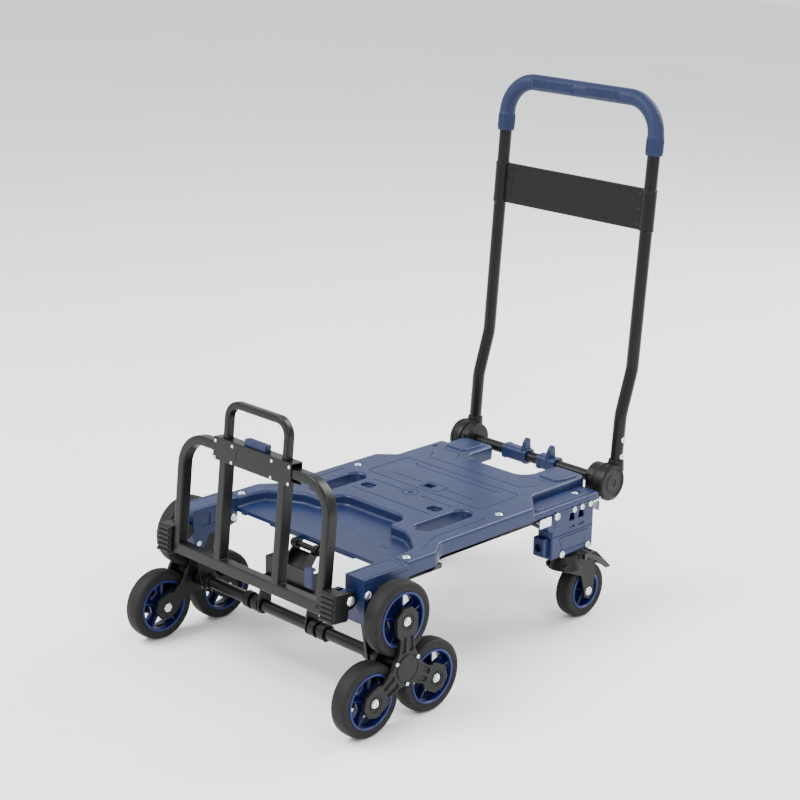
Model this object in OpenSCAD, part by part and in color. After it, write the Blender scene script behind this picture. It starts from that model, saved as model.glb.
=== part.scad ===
// Folding stair-climbing platform trolley: moulded deck, tri-star front wheels,
// swivelling rear casters on folding legs, fold-down push handle and folding toe frame.
// Millimetres. +X is the right-hand side, -Y the toe-frame end, +Z up, floor at z = 0.

/* [Tri-star wheels] */
// Radius of each star wheel
wheel_r = 60; // [58:0.5:60]
// Distance between the axles of two wheels of one star
wheel_gap = 132; // [130:1:134]
// Width of a star tyre
tyre_w = 30; // [26:1:30]
// X of the middle plane of the star wheels
wheel_x = 248; // [248:1:250]
// Y of the star axle
star_y = -286; // [-288:1:-285]
// Radius of the star rims, where the tyre sits
rim_r = 44.5; // [42:0.5:46]
// Radius of the axle tube between the stars
axle_r = 10; // [9:0.5:10]

/* [Casters] */
// Radius of a caster wheel
caster_r = 50; // [46:1:50]
// Width of a caster tyre
caster_w = 29; // [24:1:30]
// X of the caster swivel axis
caster_x = 175; // [173:1:176]
// Y of the caster swivel axis
caster_y = 194; // [192:1:196]
// Distance from the swivel axis back to the wheel axle
trail = 43; // [38:1:45]

/* [Deck] */
// Height of the load surface
deck_top = 238; // [238:0.5:240]
// Half width of the deck at its waist
deck_half = 189; // [188:0.5:190]
// Half width of the front arms of the deck
arm_half = 213; // [210:1:214]
// Y of the front edge of the deck
deck_front = -235; // [-236:0.5:-234]
// Y of the rear lobes of the deck
deck_rear = 282; // [278:1:284]
// Thickness of the moulded walls
wall = 4; // [3:0.5:4.5]
// Depth of the toe-frame tray below the load surface
tray_depth = 18; // [18:0.5:20]

/* [Handle] */
// Half distance between the legs of the handle
handle_half = 167; // [166:0.5:168]
// Outer radius of the handle tube
tube_r = 11; // [10:0.5:11]
// Height of the top bar of the handle
handle_top = 878; // [800:5:890]
// Centre-line radius of the top corners
corner_r = 60; // [50:2:70]
// Backward lean of the handle legs
handle_lean = 4.4; // [4:0.1:5]

/* [Toe frame] */
// Outer half width of the toe frame
toe_half = 178; // [176:0.5:178]
// Height of the toe frame above its bottom edge
toe_h = 209; // [204:1:212]
// Front to back depth of the toe frame tubes
toe_deep = 20; // [18:0.5:20]
// Width of the toe frame tubes
toe_bar = 16; // [14:0.5:16]
// Backward lean of the toe frame
toe_lean = 5.47; // [5:0.1:6]

/* [Rear legs] */
// X of the inner face of a leg shell
leg_in = 158; // [157.5:0.5:160]
// X of the outer face of a leg shell
leg_out = 190; // [189.5:0.5:190]
// Height of the underside of a leg shell
leg_foot = 130; // [130:0.5:133]

/* [Hidden] */
$fn = 48;

navy = [0.16, 0.21, 0.38];
navy_dark = [0.08, 0.11, 0.3];
black = [0.15, 0.15, 0.15];
rubber = [0.19, 0.19, 0.18];
zinc = [0.78, 0.82, 0.82];

run_gap = 0.05;                          // radial clearance of a running fit
eps = 0.02;
star_r = wheel_gap / sqrt(3);            // star axle to wheel axle
star_z = wheel_r + star_r / 2;           // two lower wheels stand on the floor
pin_r = 5;                               // wheel axles and hinge pins

fold_y = deck_front - 8;                 // front carriage hinge
fold_z = 205;
skirt_z = deck_top - 25;                 // lower edge of the deck skirts
tray_z = deck_top - tray_depth;          // floor of the toe-frame tray
step_z = deck_top - 14;                  // side steps over the rear legs
step_front = 90;                         // front ends of the steps
step_rear = 265;
neck_half = 146;                         // half width of the deck between the steps
cut_half = 72;                           // rear cut-out of the deck
cut_y = 200;
cut_r = 25;
alcove_half = 78;                        // rear end of the tray, which takes the slider
alcove_y = -92;
alcove_r = 30;
slot_x = 125;                            // hand slots
slot_half = 18;
slot_y0 = -100;
slot_y1 = -16;

block_in = 180;                          // front corner blocks
block_out = 222;
block_front = -330;
block_rear = deck_front - 0.5;
arm_x = 196;                             // axle arms inside the corner blocks
arm_w = 6;
bracket_half = 58;                       // bracket in the middle of the axle
bracket_y = -281;
collar_x = 56;

hub_y = 309;                             // handle pivot
hub_z = 226;
hub_r = 32.5;
hub_x0 = 156;
hub_x1 = 181;
base_x0 = 139.5;
base_x1 = 155.5;
lower_bend = [338, 340.5];               // bends of a handle leg, Y and Z
upper_bend = [363, 419.3];
leg_socket = [329.5, 230];               // lower end of a handle leg
upper_len = (handle_top - upper_bend[1]) / cos(handle_lean);
tube_wall = 1.5;
grip_r = 14;
grip_from = 369;                         // grip ends, along the leg from the upper bend
cuff_r = 15;
cuff_len = 32;
panel_from = 240;
panel_len = 72;

toe_y = -377.5;                          // toe frame: lower front corner
toe_z = 179.7;
toe_pivot = [27.8, 29.6];                // toe hinge in the frame's own Y and Z
toe_round = 58;                          // outer radius of the frame corners
guide_x = 61;                            // guide tubes of the slider
toe_wall = 1.5;
slide_x0 = 63;
slide_w = 12;
slide_d = 14;
slide_top = 281.6;
slide_round = 30;
slide_foot = 62;
cover_half = 91;
cover_z0 = 181;
cover_z1 = 218;
foot_x1 = 210;

pivot_y = 139;                           // rear leg hinge
pivot_z = 193;
leg_front = 140;
leg_rear = 248;
leg_top = skirt_z - 0.5;
knuckle_r = 11;
hinge_r = 6;
king_r = 8;
fork_half = 21;                          // caster fork, half width
fork_plate = 4.5;
fork_top = 127;

// ---- helpers ----
module box(a, b) { translate(a) cube(b - a); }
module rod_x(r, x0, x1, y, z) { translate([x0, y, z]) rotate([0, 90, 0]) cylinder(r = r, h = x1 - x0); }
module side(x0, x1) { translate([x0, 0, 0]) rotate([90, 0, 90]) linear_extrude(x1 - x0) children(); }
module both() { children(); mirror([1, 0, 0]) children(); }
module left() { mirror([1, 0, 0]) children(); }
module plate(z0, z1) { translate([0, 0, z0]) linear_extrude(z1 - z0) children(); }
module dome(r, h) {
    intersection() {
        translate([0, 0, h - r * 1.4]) sphere(r = r * 1.4);
        cylinder(r = r, h = h);
    }
}
module dome_x(r, h, x, y, z) { translate([x, y, z]) rotate([0, 90, 0]) dome(r, h); }
function mirrored(half) = concat(half, [for (i = [len(half) - 1:-1:0]) [-half[i][0], half[i][1]]]);

// ---- deck ----
// Upper deck outline; d insets it for the hollow underneath
module deck_outline(d = 0) {
    polygon(mirrored([[arm_half - d, deck_front + d],
                      [arm_half - d, -160 - d / 3],
                      [deck_half - d, -130 - d / 3],
                      [deck_half - d, step_front - d / 2],
                      [neck_half - d, step_front + 45 - d / 2],
                      [neck_half - d, deck_rear - d]]));
}
module step_outline(d = 0) {
    polygon(mirrored([[deck_half - 1 - d, step_front], [deck_half - 1 - d, step_rear - d]]));
}
module rear_cut(d = 0) {
    for (s = [-1, 1]) translate([s * (cut_half - cut_r), cut_y + cut_r]) circle(r = cut_r + d);
    translate([-cut_half - d, cut_y + cut_r]) square([2 * (cut_half + d), 120]);
    translate([-cut_half + cut_r, cut_y - d]) square([2 * (cut_half - cut_r), 120]);
}
// Tray for the folded toe frame: alcove, wide part and rounded shoulders, open to the front
module tray(d = 0) {
    for (s = [-1, 1]) translate([s * (alcove_half - alcove_r), alcove_y - alcove_r]) circle(r = alcove_r + d);
    translate([-alcove_half - d, deck_front - 5])
        square([2 * (alcove_half + d), alcove_y - alcove_r - deck_front + 5]);
    translate([-alcove_half + alcove_r, deck_front])
        square([2 * (alcove_half - alcove_r), alcove_y + d - deck_front]);
    polygon(mirrored([[180 + d, deck_front - 5], [180 + d, -205], [175 + d, -180], [143 + d, -155 + d],
                      [138 + d, -140 + d]]));
}
module hand_slots(d = 0) {
    for (s = [-1, 1]) translate([s * slot_x, 0]) {
        for (y = [slot_y0, slot_y1]) translate([0, y]) circle(r = slot_half + d);
        translate([-slot_half - d, slot_y0]) square([2 * (slot_half + d), slot_y1 - slot_y0]);
    }
}
screw_spots = [[195, -214, 0], [167, 30, 0], [163, 228, 1]];
module deck_panel() {
    color(navy) difference() {
        union() {
            plate(skirt_z, deck_top) deck_outline();
            plate(skirt_z, step_z) step_outline();
            plate(tray_z - wall - 6, tray_z) translate([-179, deck_front]) square([358, wall]);
        }
        // hollow underside
        difference() {
            union() {
                plate(skirt_z - 10, deck_top - wall) deck_outline(wall);
                plate(skirt_z - 10, step_z - wall) step_outline(wall);
            }
            plate(tray_z - wall, deck_top) tray(wall);
            plate(tray_z - wall - 6, tray_z) translate([-179, deck_front]) square([358, wall]);
            plate(skirt_z, deck_top) rear_cut(wall);
            plate(skirt_z, deck_top) hand_slots(wall);
            for (y = [-75, 55, 150]) box([-140, y, skirt_z + 3], [140, y + 3, deck_top]);
            for (s = [-1, 1]) box([s * 60 - 1.5, -60, skirt_z + 3], [s * 60 + 1.5, 195, deck_top]);
            for (s = [-1, 1])
                box([s * neck_half - 2, step_front + 45, step_z - wall], [s * neck_half + 2, step_rear, deck_top]);
        }
        plate(tray_z, deck_top + 1) tray();
        plate(skirt_z - 10, deck_top + 1) rear_cut();
        plate(skirt_z - 10, deck_top + 1) hand_slots();
        // lashing holes and the centre drain
        for (s = [-1, 1]) translate([s * 78, -30, 200]) cylinder(r = 6, h = 50);
        translate([-4, 43, 200]) cylinder(r = 8, h = 50);
        // screw recesses and holes
        for (p = screw_spots) both() translate([p[0], p[1], p[2] == 1 ? step_z : deck_top]) {
            translate([0, 0, -1.5]) cylinder(r = 9, h = 3);
            translate([0, 0, -20]) cylinder(r = 3.02, h = 30);
        }
    }
}
module deck_screws() {
    color(zinc) for (p = screw_spots) both() translate([p[0], p[1], (p[2] == 1 ? step_z : deck_top) - 1.5]) {
        dome(6.5, 3);
        translate([0, 0, -8]) cylinder(r = 3, h = 8.5);
    }
}

// ---- underframe: side rails, cross rails, hinge lugs and leg pivots ----
rail_x = 172;
rail_w = 11;
rail_z0 = 205;
rail_z1 = 231;
lug_x = 204;
module underframe() {
    color(black) {
        both() difference() {
            union() {
                box([rail_x, -148, rail_z0], [rail_x + rail_w, 82, rail_z1]);
                box([rail_x, 81, rail_z0], [rail_x + rail_w, 128, 219.5]);
                box([rail_x, -225, rail_z0], [rail_x + rail_w, -147, 215.5]);
                // outer strap to the front hinge
                box([rail_x, -160, rail_z0], [lug_x + 5, -148, skirt_z - 0.5]);
                box([lug_x, fold_y, rail_z0], [lug_x + 5, -148, skirt_z - 0.5]);
                rod_x(9, lug_x, lug_x + 5, fold_y, fold_z);
                // inner rail over the leg, with the leg lug and pivot
                box([143, 116, rail_z0], [rail_x + rail_w, 128, 216]);
                box([143, 116, rail_z0], [155, 260.5, 219.5]);
                box([149, pivot_y - 10, pivot_z], [155.5, pivot_y + 10, 210]);
                rod_x(10, 149, 155.5, pivot_y, pivot_z);
                rod_x(hinge_r, 150, leg_out - 6, pivot_y, pivot_z);
            }
            rod_x(pin_r + run_gap, lug_x - 1, lug_x + 6, fold_y, fold_z);
            box([rail_x + 1.5, -146, rail_z0 + 1.5], [rail_x + rail_w - 1.5, 80, rail_z1 - 1.5]);
        }
        for (y = [-168, 116]) box([-rail_x - 1, y, rail_z0], [rail_x + 1, y + 10, 215.5]);
        // middle lugs of the front hinge, under the tray
        difference() {
            union() for (s = [-1, 1]) {
                box([s * 26 - 2.5, fold_y + 2, fold_z + 1], [s * 26 + 2.5, -228, 209.5]);
                box([s * 26 - 2.5, -230.5, fold_z + 1], [s * 26 + 2.5, -160, 215.5]);
                rod_x(9, s * 26 - 2.5, s * 26 + 2.5, fold_y, fold_z);
            }
            rod_x(pin_r + run_gap, -40, 40, fold_y, fold_z);
        }
    }
}
module hub_bases() {
    color(black) both() difference() {
        union() {
            rod_x(hub_r - 2.5, base_x0, base_x1, hub_y, hub_z);
            box([base_x0 + 1, 232, 198], [base_x1, hub_y, 204.8]);
            box([base_x0 + 1, 283.5, 198], [base_x1, hub_y, 240]);
            rod_x(8, base_x1 - 1, 176, hub_y, hub_z);
        }
        rod_x(7 + run_gap, base_x0 - 1, 150, hub_y, hub_z);
        box([base_x0 - 1, hub_y - hub_r, 206], [neck_half + 1, deck_rear + 0.5, 250]);
    }
}
module latch_plates() {
    color(zinc) both() {
        box([rail_x + rail_w + 0.2, 106, rail_z0 + 0.2], [192.3, 127, rail_z0 + 2.5]);
        box([190.3, 106, 197], [192.3, 134, skirt_z - 0.2]);
        box([leg_in, 267, 188], [leg_out - 4, 270, skirt_z - 0.5]);
        box([base_x1, 250, 207], [leg_out - 4, 268, 210]);
    }
}

// ---- release bar behind the deck ----
module release_bar() {
    color(black) {
        rod_x(10, -base_x0 + 0.5, base_x0 - 0.5, hub_y, hub_z);
        both() rod_x(7, base_x0 - 1, 149.5, hub_y, hub_z);
    }
}
module paddle(x0, x1, fin) {
    difference() {
        union() {
            box([x0, hub_y - 13.5, hub_z - 13.5], [x1, hub_y + 13.5, hub_z + 13.5]);
            box([fin, hub_y - 6, hub_z], [fin + 9, hub_y + 6, hub_z + 28]);
            rod_x(6, fin, fin + 9, hub_y, hub_z + 28);
        }
        rod_x(10, x0 - 1, x1 + 1, hub_y, hub_z);
    }
}
module release_paddles() {
    color(navy) {
        paddle(-68, -12, -24);
        paddle(14, 56, 34);
    }
}

// ---- handle ----
function lean_dir(a) = [sin(a), cos(a)];
mid_lean = atan2(upper_bend[0] - lower_bend[0], upper_bend[1] - lower_bend[1]);
kink_r = 60;                             // bends of the legs
kink_run = kink_r * tan((mid_lean - handle_lean) / 2);
lap = 1;                                 // straight pieces run this far into the bends
draw = 0.05;                             // and are this much thinner, as drawn tube is beside a bend
leg_bolt_spots = [for (t = [0.35, 0.62]) leg_socket + (lower_bend - leg_socket) * t];
bolt_seat = 0.4;                         // depth of the flat under each leg bolt
module leg_piece(r, a, b) {
    d = b - a;
    translate([0, a[0], a[1]]) rotate([-atan2(d[0], d[1]), 0, 0]) cylinder(r = r, h = norm(d));
}
module upper_frame() { translate([0, upper_bend[0], upper_bend[1]]) rotate([-handle_lean, 0, 0]) children(); }
// Bend of a leg at p, from one lean to another, way = 1 to the rear and -1 to the front
module kink(r, p, from, to, way) {
    start = p - kink_run * lean_dir(from);
    mid = start + way * kink_r * [cos(from), -sin(from)];
    turn = way > 0 ? 180 - to : -from;
    translate([0, mid[0], mid[1]]) rotate([90, 0, 90]) rotate([0, 0, turn])
        rotate_extrude(angle = abs(to - from)) translate([kink_r, 0]) circle(r = r);
}
module bend(r) {
    translate([handle_half - corner_r, 0, upper_len - corner_r]) rotate([90, 0, 0]) rotate_extrude(angle = 90)
        translate([corner_r, 0]) circle(r = r);
}
module handle_run(r, straight_r) {
    reach = kink_run - lap;
    both() {
        translate([handle_half, 0, 0]) {
            leg_piece(straight_r, leg_socket, lower_bend - reach * lean_dir(handle_lean));
            kink(r, lower_bend, handle_lean, mid_lean, 1);
            leg_piece(straight_r, lower_bend + reach * lean_dir(mid_lean),
                      upper_bend - reach * lean_dir(mid_lean));
            kink(r, upper_bend, mid_lean, handle_lean, -1);
        }
        upper_frame() {
            translate([handle_half, 0, reach])
                cylinder(r = straight_r, h = upper_len - corner_r - reach + lap);
            bend(r);
        }
    }
    upper_frame() rod_x(straight_r, corner_r - handle_half - lap, handle_half - corner_r + lap, 0, upper_len);
}
module handle_tube() {
    color(black) difference() {
        handle_run(tube_r, tube_r - draw);
        handle_run(tube_r - tube_wall - draw, tube_r - tube_wall);
        both() for (p = leg_bolt_spots) rod_x(5 + eps, handle_half + tube_r - bolt_seat, 200, p[0], p[1]);
        both() translate([handle_half, leg_socket[0], leg_socket[1] - 5]) cylinder(r = tube_r - 3, h = 8);
    }
}
module handle_grip() {
    straight = handle_half - corner_r + lap;
    color(navy) upper_frame() difference() {
        union() {
            both() {
                bend(grip_r);
                translate([handle_half, 0, grip_from]) {
                    cylinder(r = grip_r - draw, h = upper_len - corner_r - grip_from + lap);
                    cylinder(r = cuff_r, h = cuff_len - 2);
                }
            }
            rod_x(grip_r - draw, -straight, straight, 0, upper_len);
            box([-104, -grip_r - 1.5, upper_len - 9], [-12, 0, upper_len + 9]);
            box([18, -grip_r - 1.5, upper_len - 9], [90, 0, upper_len + 9]);
        }
        both() {
            bend(tube_r + eps);
            translate([handle_half, 0, grip_from - 1])
                cylinder(r = tube_r, h = upper_len - corner_r - grip_from + 1 + lap);
        }
        rod_x(tube_r, -straight, straight, 0, upper_len);
    }
}
module handle_panel() {
    color(black) upper_frame() difference() {
        union() {
            box([-handle_half, -2.5, panel_from], [handle_half, 2.5, panel_from + panel_len]);
            both() translate([handle_half, 0, panel_from]) cylinder(r = tube_r + 1.5, h = panel_len);
        }
        both() translate([handle_half, 0, panel_from - 1]) cylinder(r = tube_r, h = panel_len + 2);
        box([-140, -3, panel_from + 12], [140, -1.5, panel_from + panel_len - 10]);
    }
}
module handle_hubs() {
    color(black) both() difference() {
        union() {
            rod_x(hub_r, hub_x0, hub_x1, hub_y, hub_z);
            translate([handle_half, 0, 0])
                leg_piece(tube_r + 2.5, leg_socket + 13 * lean_dir(handle_lean),
                          leg_socket + 32 * lean_dir(handle_lean));
        }
        rod_x(8 + run_gap, hub_x0 - 1, 176.5, hub_y, hub_z);
        box([hub_x0 - 6, hub_y, hub_z], [base_x1 + 0.3, hub_y + 40, hub_z + 50]);
        translate([handle_half, 0, 0]) leg_piece(tube_r, leg_socket, leg_socket + 90 * lean_dir(handle_lean));
    }
}
module handle_bolts() {
    color(zinc) both() {
        for (p = leg_bolt_spots) dome_x(5, 3, handle_half + tube_r - bolt_seat, p[0], p[1]);
    }
}

// ---- front carriage ----
module block_side() {
    difference() {
        union() {
            polygon([[block_rear, deck_top], [block_front, deck_top], [block_front, 165], [-312, 165],
                     [-296, 190], [-262, 190], [fold_y, fold_z - 10], [block_rear, fold_z - 6]]);
            translate([fold_y, fold_z]) circle(r = 10);
        }
        translate([block_rear, 0]) square([60, 400]);
    }
}
module corner_block() {
    tongue = [toe_pivot_y(), toe_pivot_z()];
    color(navy) difference() {
        union() {
            side(block_in, block_out) block_side();
            side(188, 202) {
                translate(tongue) circle(r = 12);
                translate([tongue[0], tongue[1] - 12]) square([block_front - tongue[0] + 5, 24]);
            }
        }
        // hollow, with the slots for the hinge strap and the axle arm
        box([block_in + wall + 2, block_front + wall, 150], [block_out - wall, -262, deck_top - wall]);
        box([lug_x - 2, -272, 150], [lug_x + 7, block_rear + 1, deck_top - wall]);
        // pockets of the inner face
        box([block_in - 1, -312, 206], [block_in + 1.5, -294, 226]);
        box([block_in - 1, -290, 206], [block_in + 1.5, -270, 226]);
        rod_x(pin_r, block_in - 1, block_out + 1, fold_y, fold_z);
        rod_x(pin_r + run_gap, 187, 203, tongue[0], tongue[1]);
    }
}
function toe_pivot_y() = toe_y + toe_pivot[0] * cos(toe_lean) + toe_pivot[1] * sin(toe_lean);
function toe_pivot_z() = toe_z - toe_pivot[0] * sin(toe_lean) + toe_pivot[1] * cos(toe_lean);
module corner_block_l() { left() corner_block(); }
module corner_block_r() { corner_block(); }
module block_bolts() {
    color(zinc) {
        both() {
            rod_x(pin_r, block_in, block_out, fold_y, fold_z);
            mirror([1, 0, 0]) dome_x(7, 4, -block_in, fold_y, fold_z);
            for (p = [[-318, 178], [-262, 232]]) mirror([1, 0, 0]) dome_x(5, 1.6, -block_in, p[0], p[1]);
            dome_x(7, 3, block_out, -322, 212);
        }
        rod_x(pin_r, -32, 32, fold_y, fold_z);
        both() dome_x(8, 3, 32, fold_y, fold_z);
    }
}
module axle_arms() {
    color(black) both() difference() {
        union() {
            side(arm_x, arm_x + arm_w) polygon([[-318, 225], [-276, 225], [-276, 186], [star_y + 16, star_z],
                                                [star_y - 16, star_z], [-318, 186]]);
            rod_x(16, arm_x, arm_x + arm_w, star_y, star_z);
            rod_x(13, arm_x - 10, arm_x + 22, star_y, star_z);
        }
        rod_x(axle_r + eps, arm_x - 11, arm_x + 30, star_y, star_z);
    }
}
module axle_bracket() {
    color(black) difference() {
        union() {
            box([-bracket_half, bracket_y, 150], [bracket_half, bracket_y + 3, 184]);
            box([-bracket_half, bracket_y - 9, 150], [bracket_half, bracket_y, 153]);
            both() side(bracket_half - 3, bracket_half)
                polygon([[bracket_y, 184], [bracket_y + 16, 184], [star_y + 14, star_z],
                         [star_y - 14, star_z], [bracket_y - 9, 150], [bracket_y, 150]]);
            both() rod_x(14, bracket_half - 3, bracket_half, star_y, star_z);
            // channel strut up to the middle hinge
            both() side(19.5, 22.5) polygon([[fold_y - 7, fold_z + 3], [fold_y + 7, fold_z - 3], [bracket_y + 20, 168],
                                             [bracket_y + 2, 162], [bracket_y + 2, 182]]);
            both() rod_x(8.5, 19.5, 22.5, fold_y, fold_z);
            side(-20, 20) polygon([[bracket_y + 2.5, 166], [bracket_y + 5, 164], [fold_y + 1, fold_z - 9],
                                   [fold_y - 2.5, fold_z - 7]]);
        }
        rod_x(pin_r + eps, -40, 40, fold_y, fold_z);
        rod_x(axle_r + eps, -80, 80, star_y, star_z);
    }
}
module release_clip() {
    color(navy) {
        box([40, bracket_y - 5, 160], [58, bracket_y - 0.3, 193]);
        box([42, bracket_y - 5, 188.5], [56, bracket_y + 6, 193]);
    }
}
module axle_tube() {
    color(black) difference() {
        rod_x(axle_r, -264, 264, star_y, star_z);
        rod_x(axle_r - 2, -265, 265, star_y, star_z);
    }
}
module axle_collars() {
    color(black) both() difference() {
        for (x = [collar_x + 5, collar_x + 27]) rod_x(14, x, x + 14, star_y, star_z);
        rod_x(axle_r + eps, 50, 120, star_y, star_z);
    }
    color(zinc) both() for (x = [collar_x + 12, collar_x + 34])
        translate([x, star_y, star_z - 16.5]) cylinder(r = 3, h = 2.4);
}

// ---- tri-stars ----
module at_star() { translate([0, star_y, star_z]) children(); }
star_angles = [90, 210, 330];
module at_arm(a) { translate([0, star_r * cos(a), star_r * sin(a)]) children(); }
module spider_plate(x0, x1, end_r) {
    at_star() {
        rod_x(30, x0, x1, 0, 0);
        for (a = star_angles) {
            rotate([a, 0, 0]) box([x0, 16, -15], [x1, star_r, 15]);
            at_arm(a) rod_x(end_r, x0, x1, 0, 0);
        }
    }
}
module star_plates() {
    color(black) difference() {
        union() {
            spider_plate(265, 272, 23);
            spider_plate(224, 230, 21);
            at_star() rod_x(13, 230, 265, 0, 0);
            at_star() rod_x(21, 272, 273, 0, 0);
        }
        at_star() {
            rod_x(axle_r + run_gap, 223, 265, 0, 0);
            for (a = star_angles) at_arm(a) {
                rod_x(pin_r + eps, 223, 280, 0, 0);
                rod_x(13.4, 270, 280, 0, 0);
            }
        }
    }
}
module star_plates_l() { left() star_plates(); }
module star_plates_r() { star_plates(); }
module star_bolts() {
    color(zinc) at_star() for (a = star_angles) {
        at_arm(a) rod_x(pin_r, 224.5, 270, 0, 0);
        at_arm(a) dome_x(8, 3, 270, 0, 0);
        rotate([a + 60, 0, 0]) dome_x(3.2, 1.8, 272, 25.7, 0);
    }
}
module star_bolts_l() { left() star_bolts(); }
module star_bolts_r() { star_bolts(); }

// A tyre with a crowned tread, and a spoked rim, both about X at the origin
module tyre(r, seat, w) {
    shoulder = 5;
    rotate([0, 90, 0]) rotate_extrude() polygon([[seat, -w / 2 + 2], [r - 8, -w / 2], [r - shoulder, -w / 2 + 1],
        [r - 1, -w / 2 + shoulder], [r, 0], [r - 1, w / 2 - shoulder], [r - shoulder, w / 2 - 1],
        [r - 8, w / 2], [seat, w / 2 - 2]]);
}
module rim(seat, w, bore, hub, spokes) {
    difference() {
        union() {
            difference() {
                rod_x(seat, -w / 2, w / 2, 0, 0);
                rod_x(seat - 4, -w, w, 0, 0);
            }
            rod_x(hub, -w / 2, w / 2, 0, 0);
            for (i = [0:spokes - 1]) rotate([i * 360 / spokes, 0, 0])
                box([-w / 2 + 3, hub - 3, -2.2], [w / 2 - 3, seat - 3, 2.2]);
            difference() {
                rod_x(seat - 3, -2, 2, 0, 0);
                for (i = [0:spokes - 1]) rotate([(i + 0.5) * 360 / spokes, 0, 0])
                    rod_x(seat * 0.2, -5, 5, seat * 0.57, 0);
            }
        }
        rod_x(bore + run_gap, -w, w, 0, 0);
    }
}
module star_wheel(i) { translate([wheel_x, 0, 0]) at_star() at_arm(star_angles[i - 1]) children(); }
module star_tyre(i) { color(rubber) star_wheel(i) tyre(wheel_r, rim_r, tyre_w); }
module star_rim(i) { color(navy_dark) star_wheel(i) rim(rim_r, tyre_w - 1, pin_r, 12, 5); }
module star_tyre_l1() { left() star_tyre(1); }
module star_tyre_l2() { left() star_tyre(2); }
module star_tyre_l3() { left() star_tyre(3); }
module star_tyre_r1() { star_tyre(1); }
module star_tyre_r2() { star_tyre(2); }
module star_tyre_r3() { star_tyre(3); }
module star_rim_l1() { left() star_rim(1); }
module star_rim_l2() { left() star_rim(2); }
module star_rim_l3() { left() star_rim(3); }
module star_rim_r1() { star_rim(1); }
module star_rim_r2() { star_rim(2); }
module star_rim_r3() { star_rim(3); }

// ---- toe frame, in its own leaning frame ----
module at_toe() { translate([0, toe_y, toe_z]) rotate([-toe_lean, 0, 0]) children(); }
// Upside-down U of rectangular tube, d thinner all round
module toe_u(half, top, w, r, y0, y1, foot, d = 0) {
    both() {
        box([half - w + d, y0 + d, foot], [half - d, y1 - d, top - r]);
        translate([half - r, y0 + d, top - r]) rotate([90, 0, 0]) mirror([0, 0, 1])
            linear_extrude(y1 - y0 - 2 * d) difference() {
                intersection() { circle(r = r - d); square(r); }
                circle(r = r - w + d);
            }
    }
    box([-half + r, y0 + d, top - w + d], [half - r, y1 - d, top - d]);
}
module toe_tubes(d) {
    toe_u(toe_half, toe_h, toe_bar, toe_round, 0, toe_deep, 10, d);
    box([-toe_half + 3 - (d > 0 ? 5 : 0), d, 1 + d], [toe_half - 3 + (d > 0 ? 5 : 0), toe_deep - d, 20 - d]);
    both() box([guide_x + d, d, 18], [guide_x + toe_bar - d, toe_deep - d, d > 0 ? toe_h + 10 : toe_h + 4]);
}
module toe_frame() { color(black) at_toe() difference() { toe_tubes(0); toe_tubes(toe_wall); } }
module toe_cover() {
    color(black) at_toe() difference() {
        box([-cover_half, -2, cover_z0], [cover_half, toe_deep + 2, cover_z1]);
        box([-cover_half - 1, -eps, cover_z0 - 1], [cover_half + 1, toe_deep + eps, cover_z1 - 2]);
        both() box([slide_x0 - 0.7, 2.3, 200], [slide_x0 + slide_w + 0.7, 17.7, 230]);
        box([-25.5, 3, 200], [25.5, 17, 230]);
    }
}
module toe_rivets() {
    color(zinc) at_toe() {
        both() for (x = [46, 86], z = [184.5, 211]) translate([x, -2, z]) rotate([90, 0, 0]) dome(2.6, 1.4);
        both() {
            rod_x(pin_r, 181, foot_x1, toe_pivot[0], toe_pivot[1]);
            dome_x(8, 4, foot_x1, toe_pivot[0], toe_pivot[1]);
        }
    }
}
module toe_feet() {
    color(black) at_toe() both() difference() {
        union() {
            box([toe_half, -8, -3], [foot_x1, toe_pivot[0], 44]);
            rod_x(14.4, toe_half, foot_x1, toe_pivot[0], toe_pivot[1]);
        }
        box([187.4, toe_pivot[0] - 12.6, toe_pivot[1] - 12.6], [202.6, 60, 60]);
        rod_x(pin_r + eps, toe_half - 1, foot_x1 + 1, toe_pivot[0], toe_pivot[1]);
    }
}
module toe_slider() {
    color(black) at_toe() toe_u(slide_x0 + slide_w, slide_top, slide_w, slide_round, 3, 3 + slide_d, slide_foot);
}
module toe_button() { color(navy) at_toe() box([-25, 3.5, 215.5], [25, 16.5, 229]); }

// ---- rear legs and casters ----
module rear_leg() {
    color(navy) difference() {
        union() {
            box([leg_in, leg_front, leg_foot], [leg_out, leg_rear, leg_top]);
            box([leg_in, leg_front - 12, leg_foot + 6], [leg_out - 8, leg_front + 1, 170]);
            rod_x(knuckle_r, leg_in, leg_out, pivot_y, pivot_z);
        }
        box([leg_in + wall, leg_front + wall, leg_foot - 1], [leg_out - wall, leg_rear - wall, 176]);
        box([leg_in + wall, leg_front + 24, 170], [leg_out - wall, leg_rear - wall, leg_top - wall]);
        rod_x(hinge_r + run_gap, leg_in - 1, leg_out - 5, pivot_y, pivot_z);
        // windows of the outer face
        for (y = [183, 207]) box([leg_out - wall - 1, y, 191], [leg_out + 1, y + 15, 204]);
        // hollow between the foot and the fork
        translate([leg_out - 20, 132, 152]) rotate([90, 0, 0]) cylinder(r = 7, h = 30, center = true);
    }
}
module rear_leg_l() { left() rear_leg(); }
module rear_leg_r() { rear_leg(); }
module leg_bolts() {
    color(zinc) {
        dome_x(6.5, 4, leg_out, 151, 208);
        for (y = [196, 216, 238]) dome_x(5, 3, leg_out, y, 209);
        for (y = [167, 234]) dome_x(6, 4, leg_out, y, 135.5);
    }
}
module leg_bolts_l() { left() leg_bolts(); }
module leg_bolts_r() { leg_bolts(); }
module caster_plate() {
    color(black) {
        gap = wall + 0.2;
        box([leg_in + gap, leg_front + gap, leg_foot], [leg_out - gap, leg_rear - gap, leg_foot + 5]);
        translate([caster_x, caster_y, 112]) cylinder(r = king_r, h = 30);
    }
}
module caster_plate_l() { left() caster_plate(); }
module caster_plate_r() { caster_plate(); }
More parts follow.
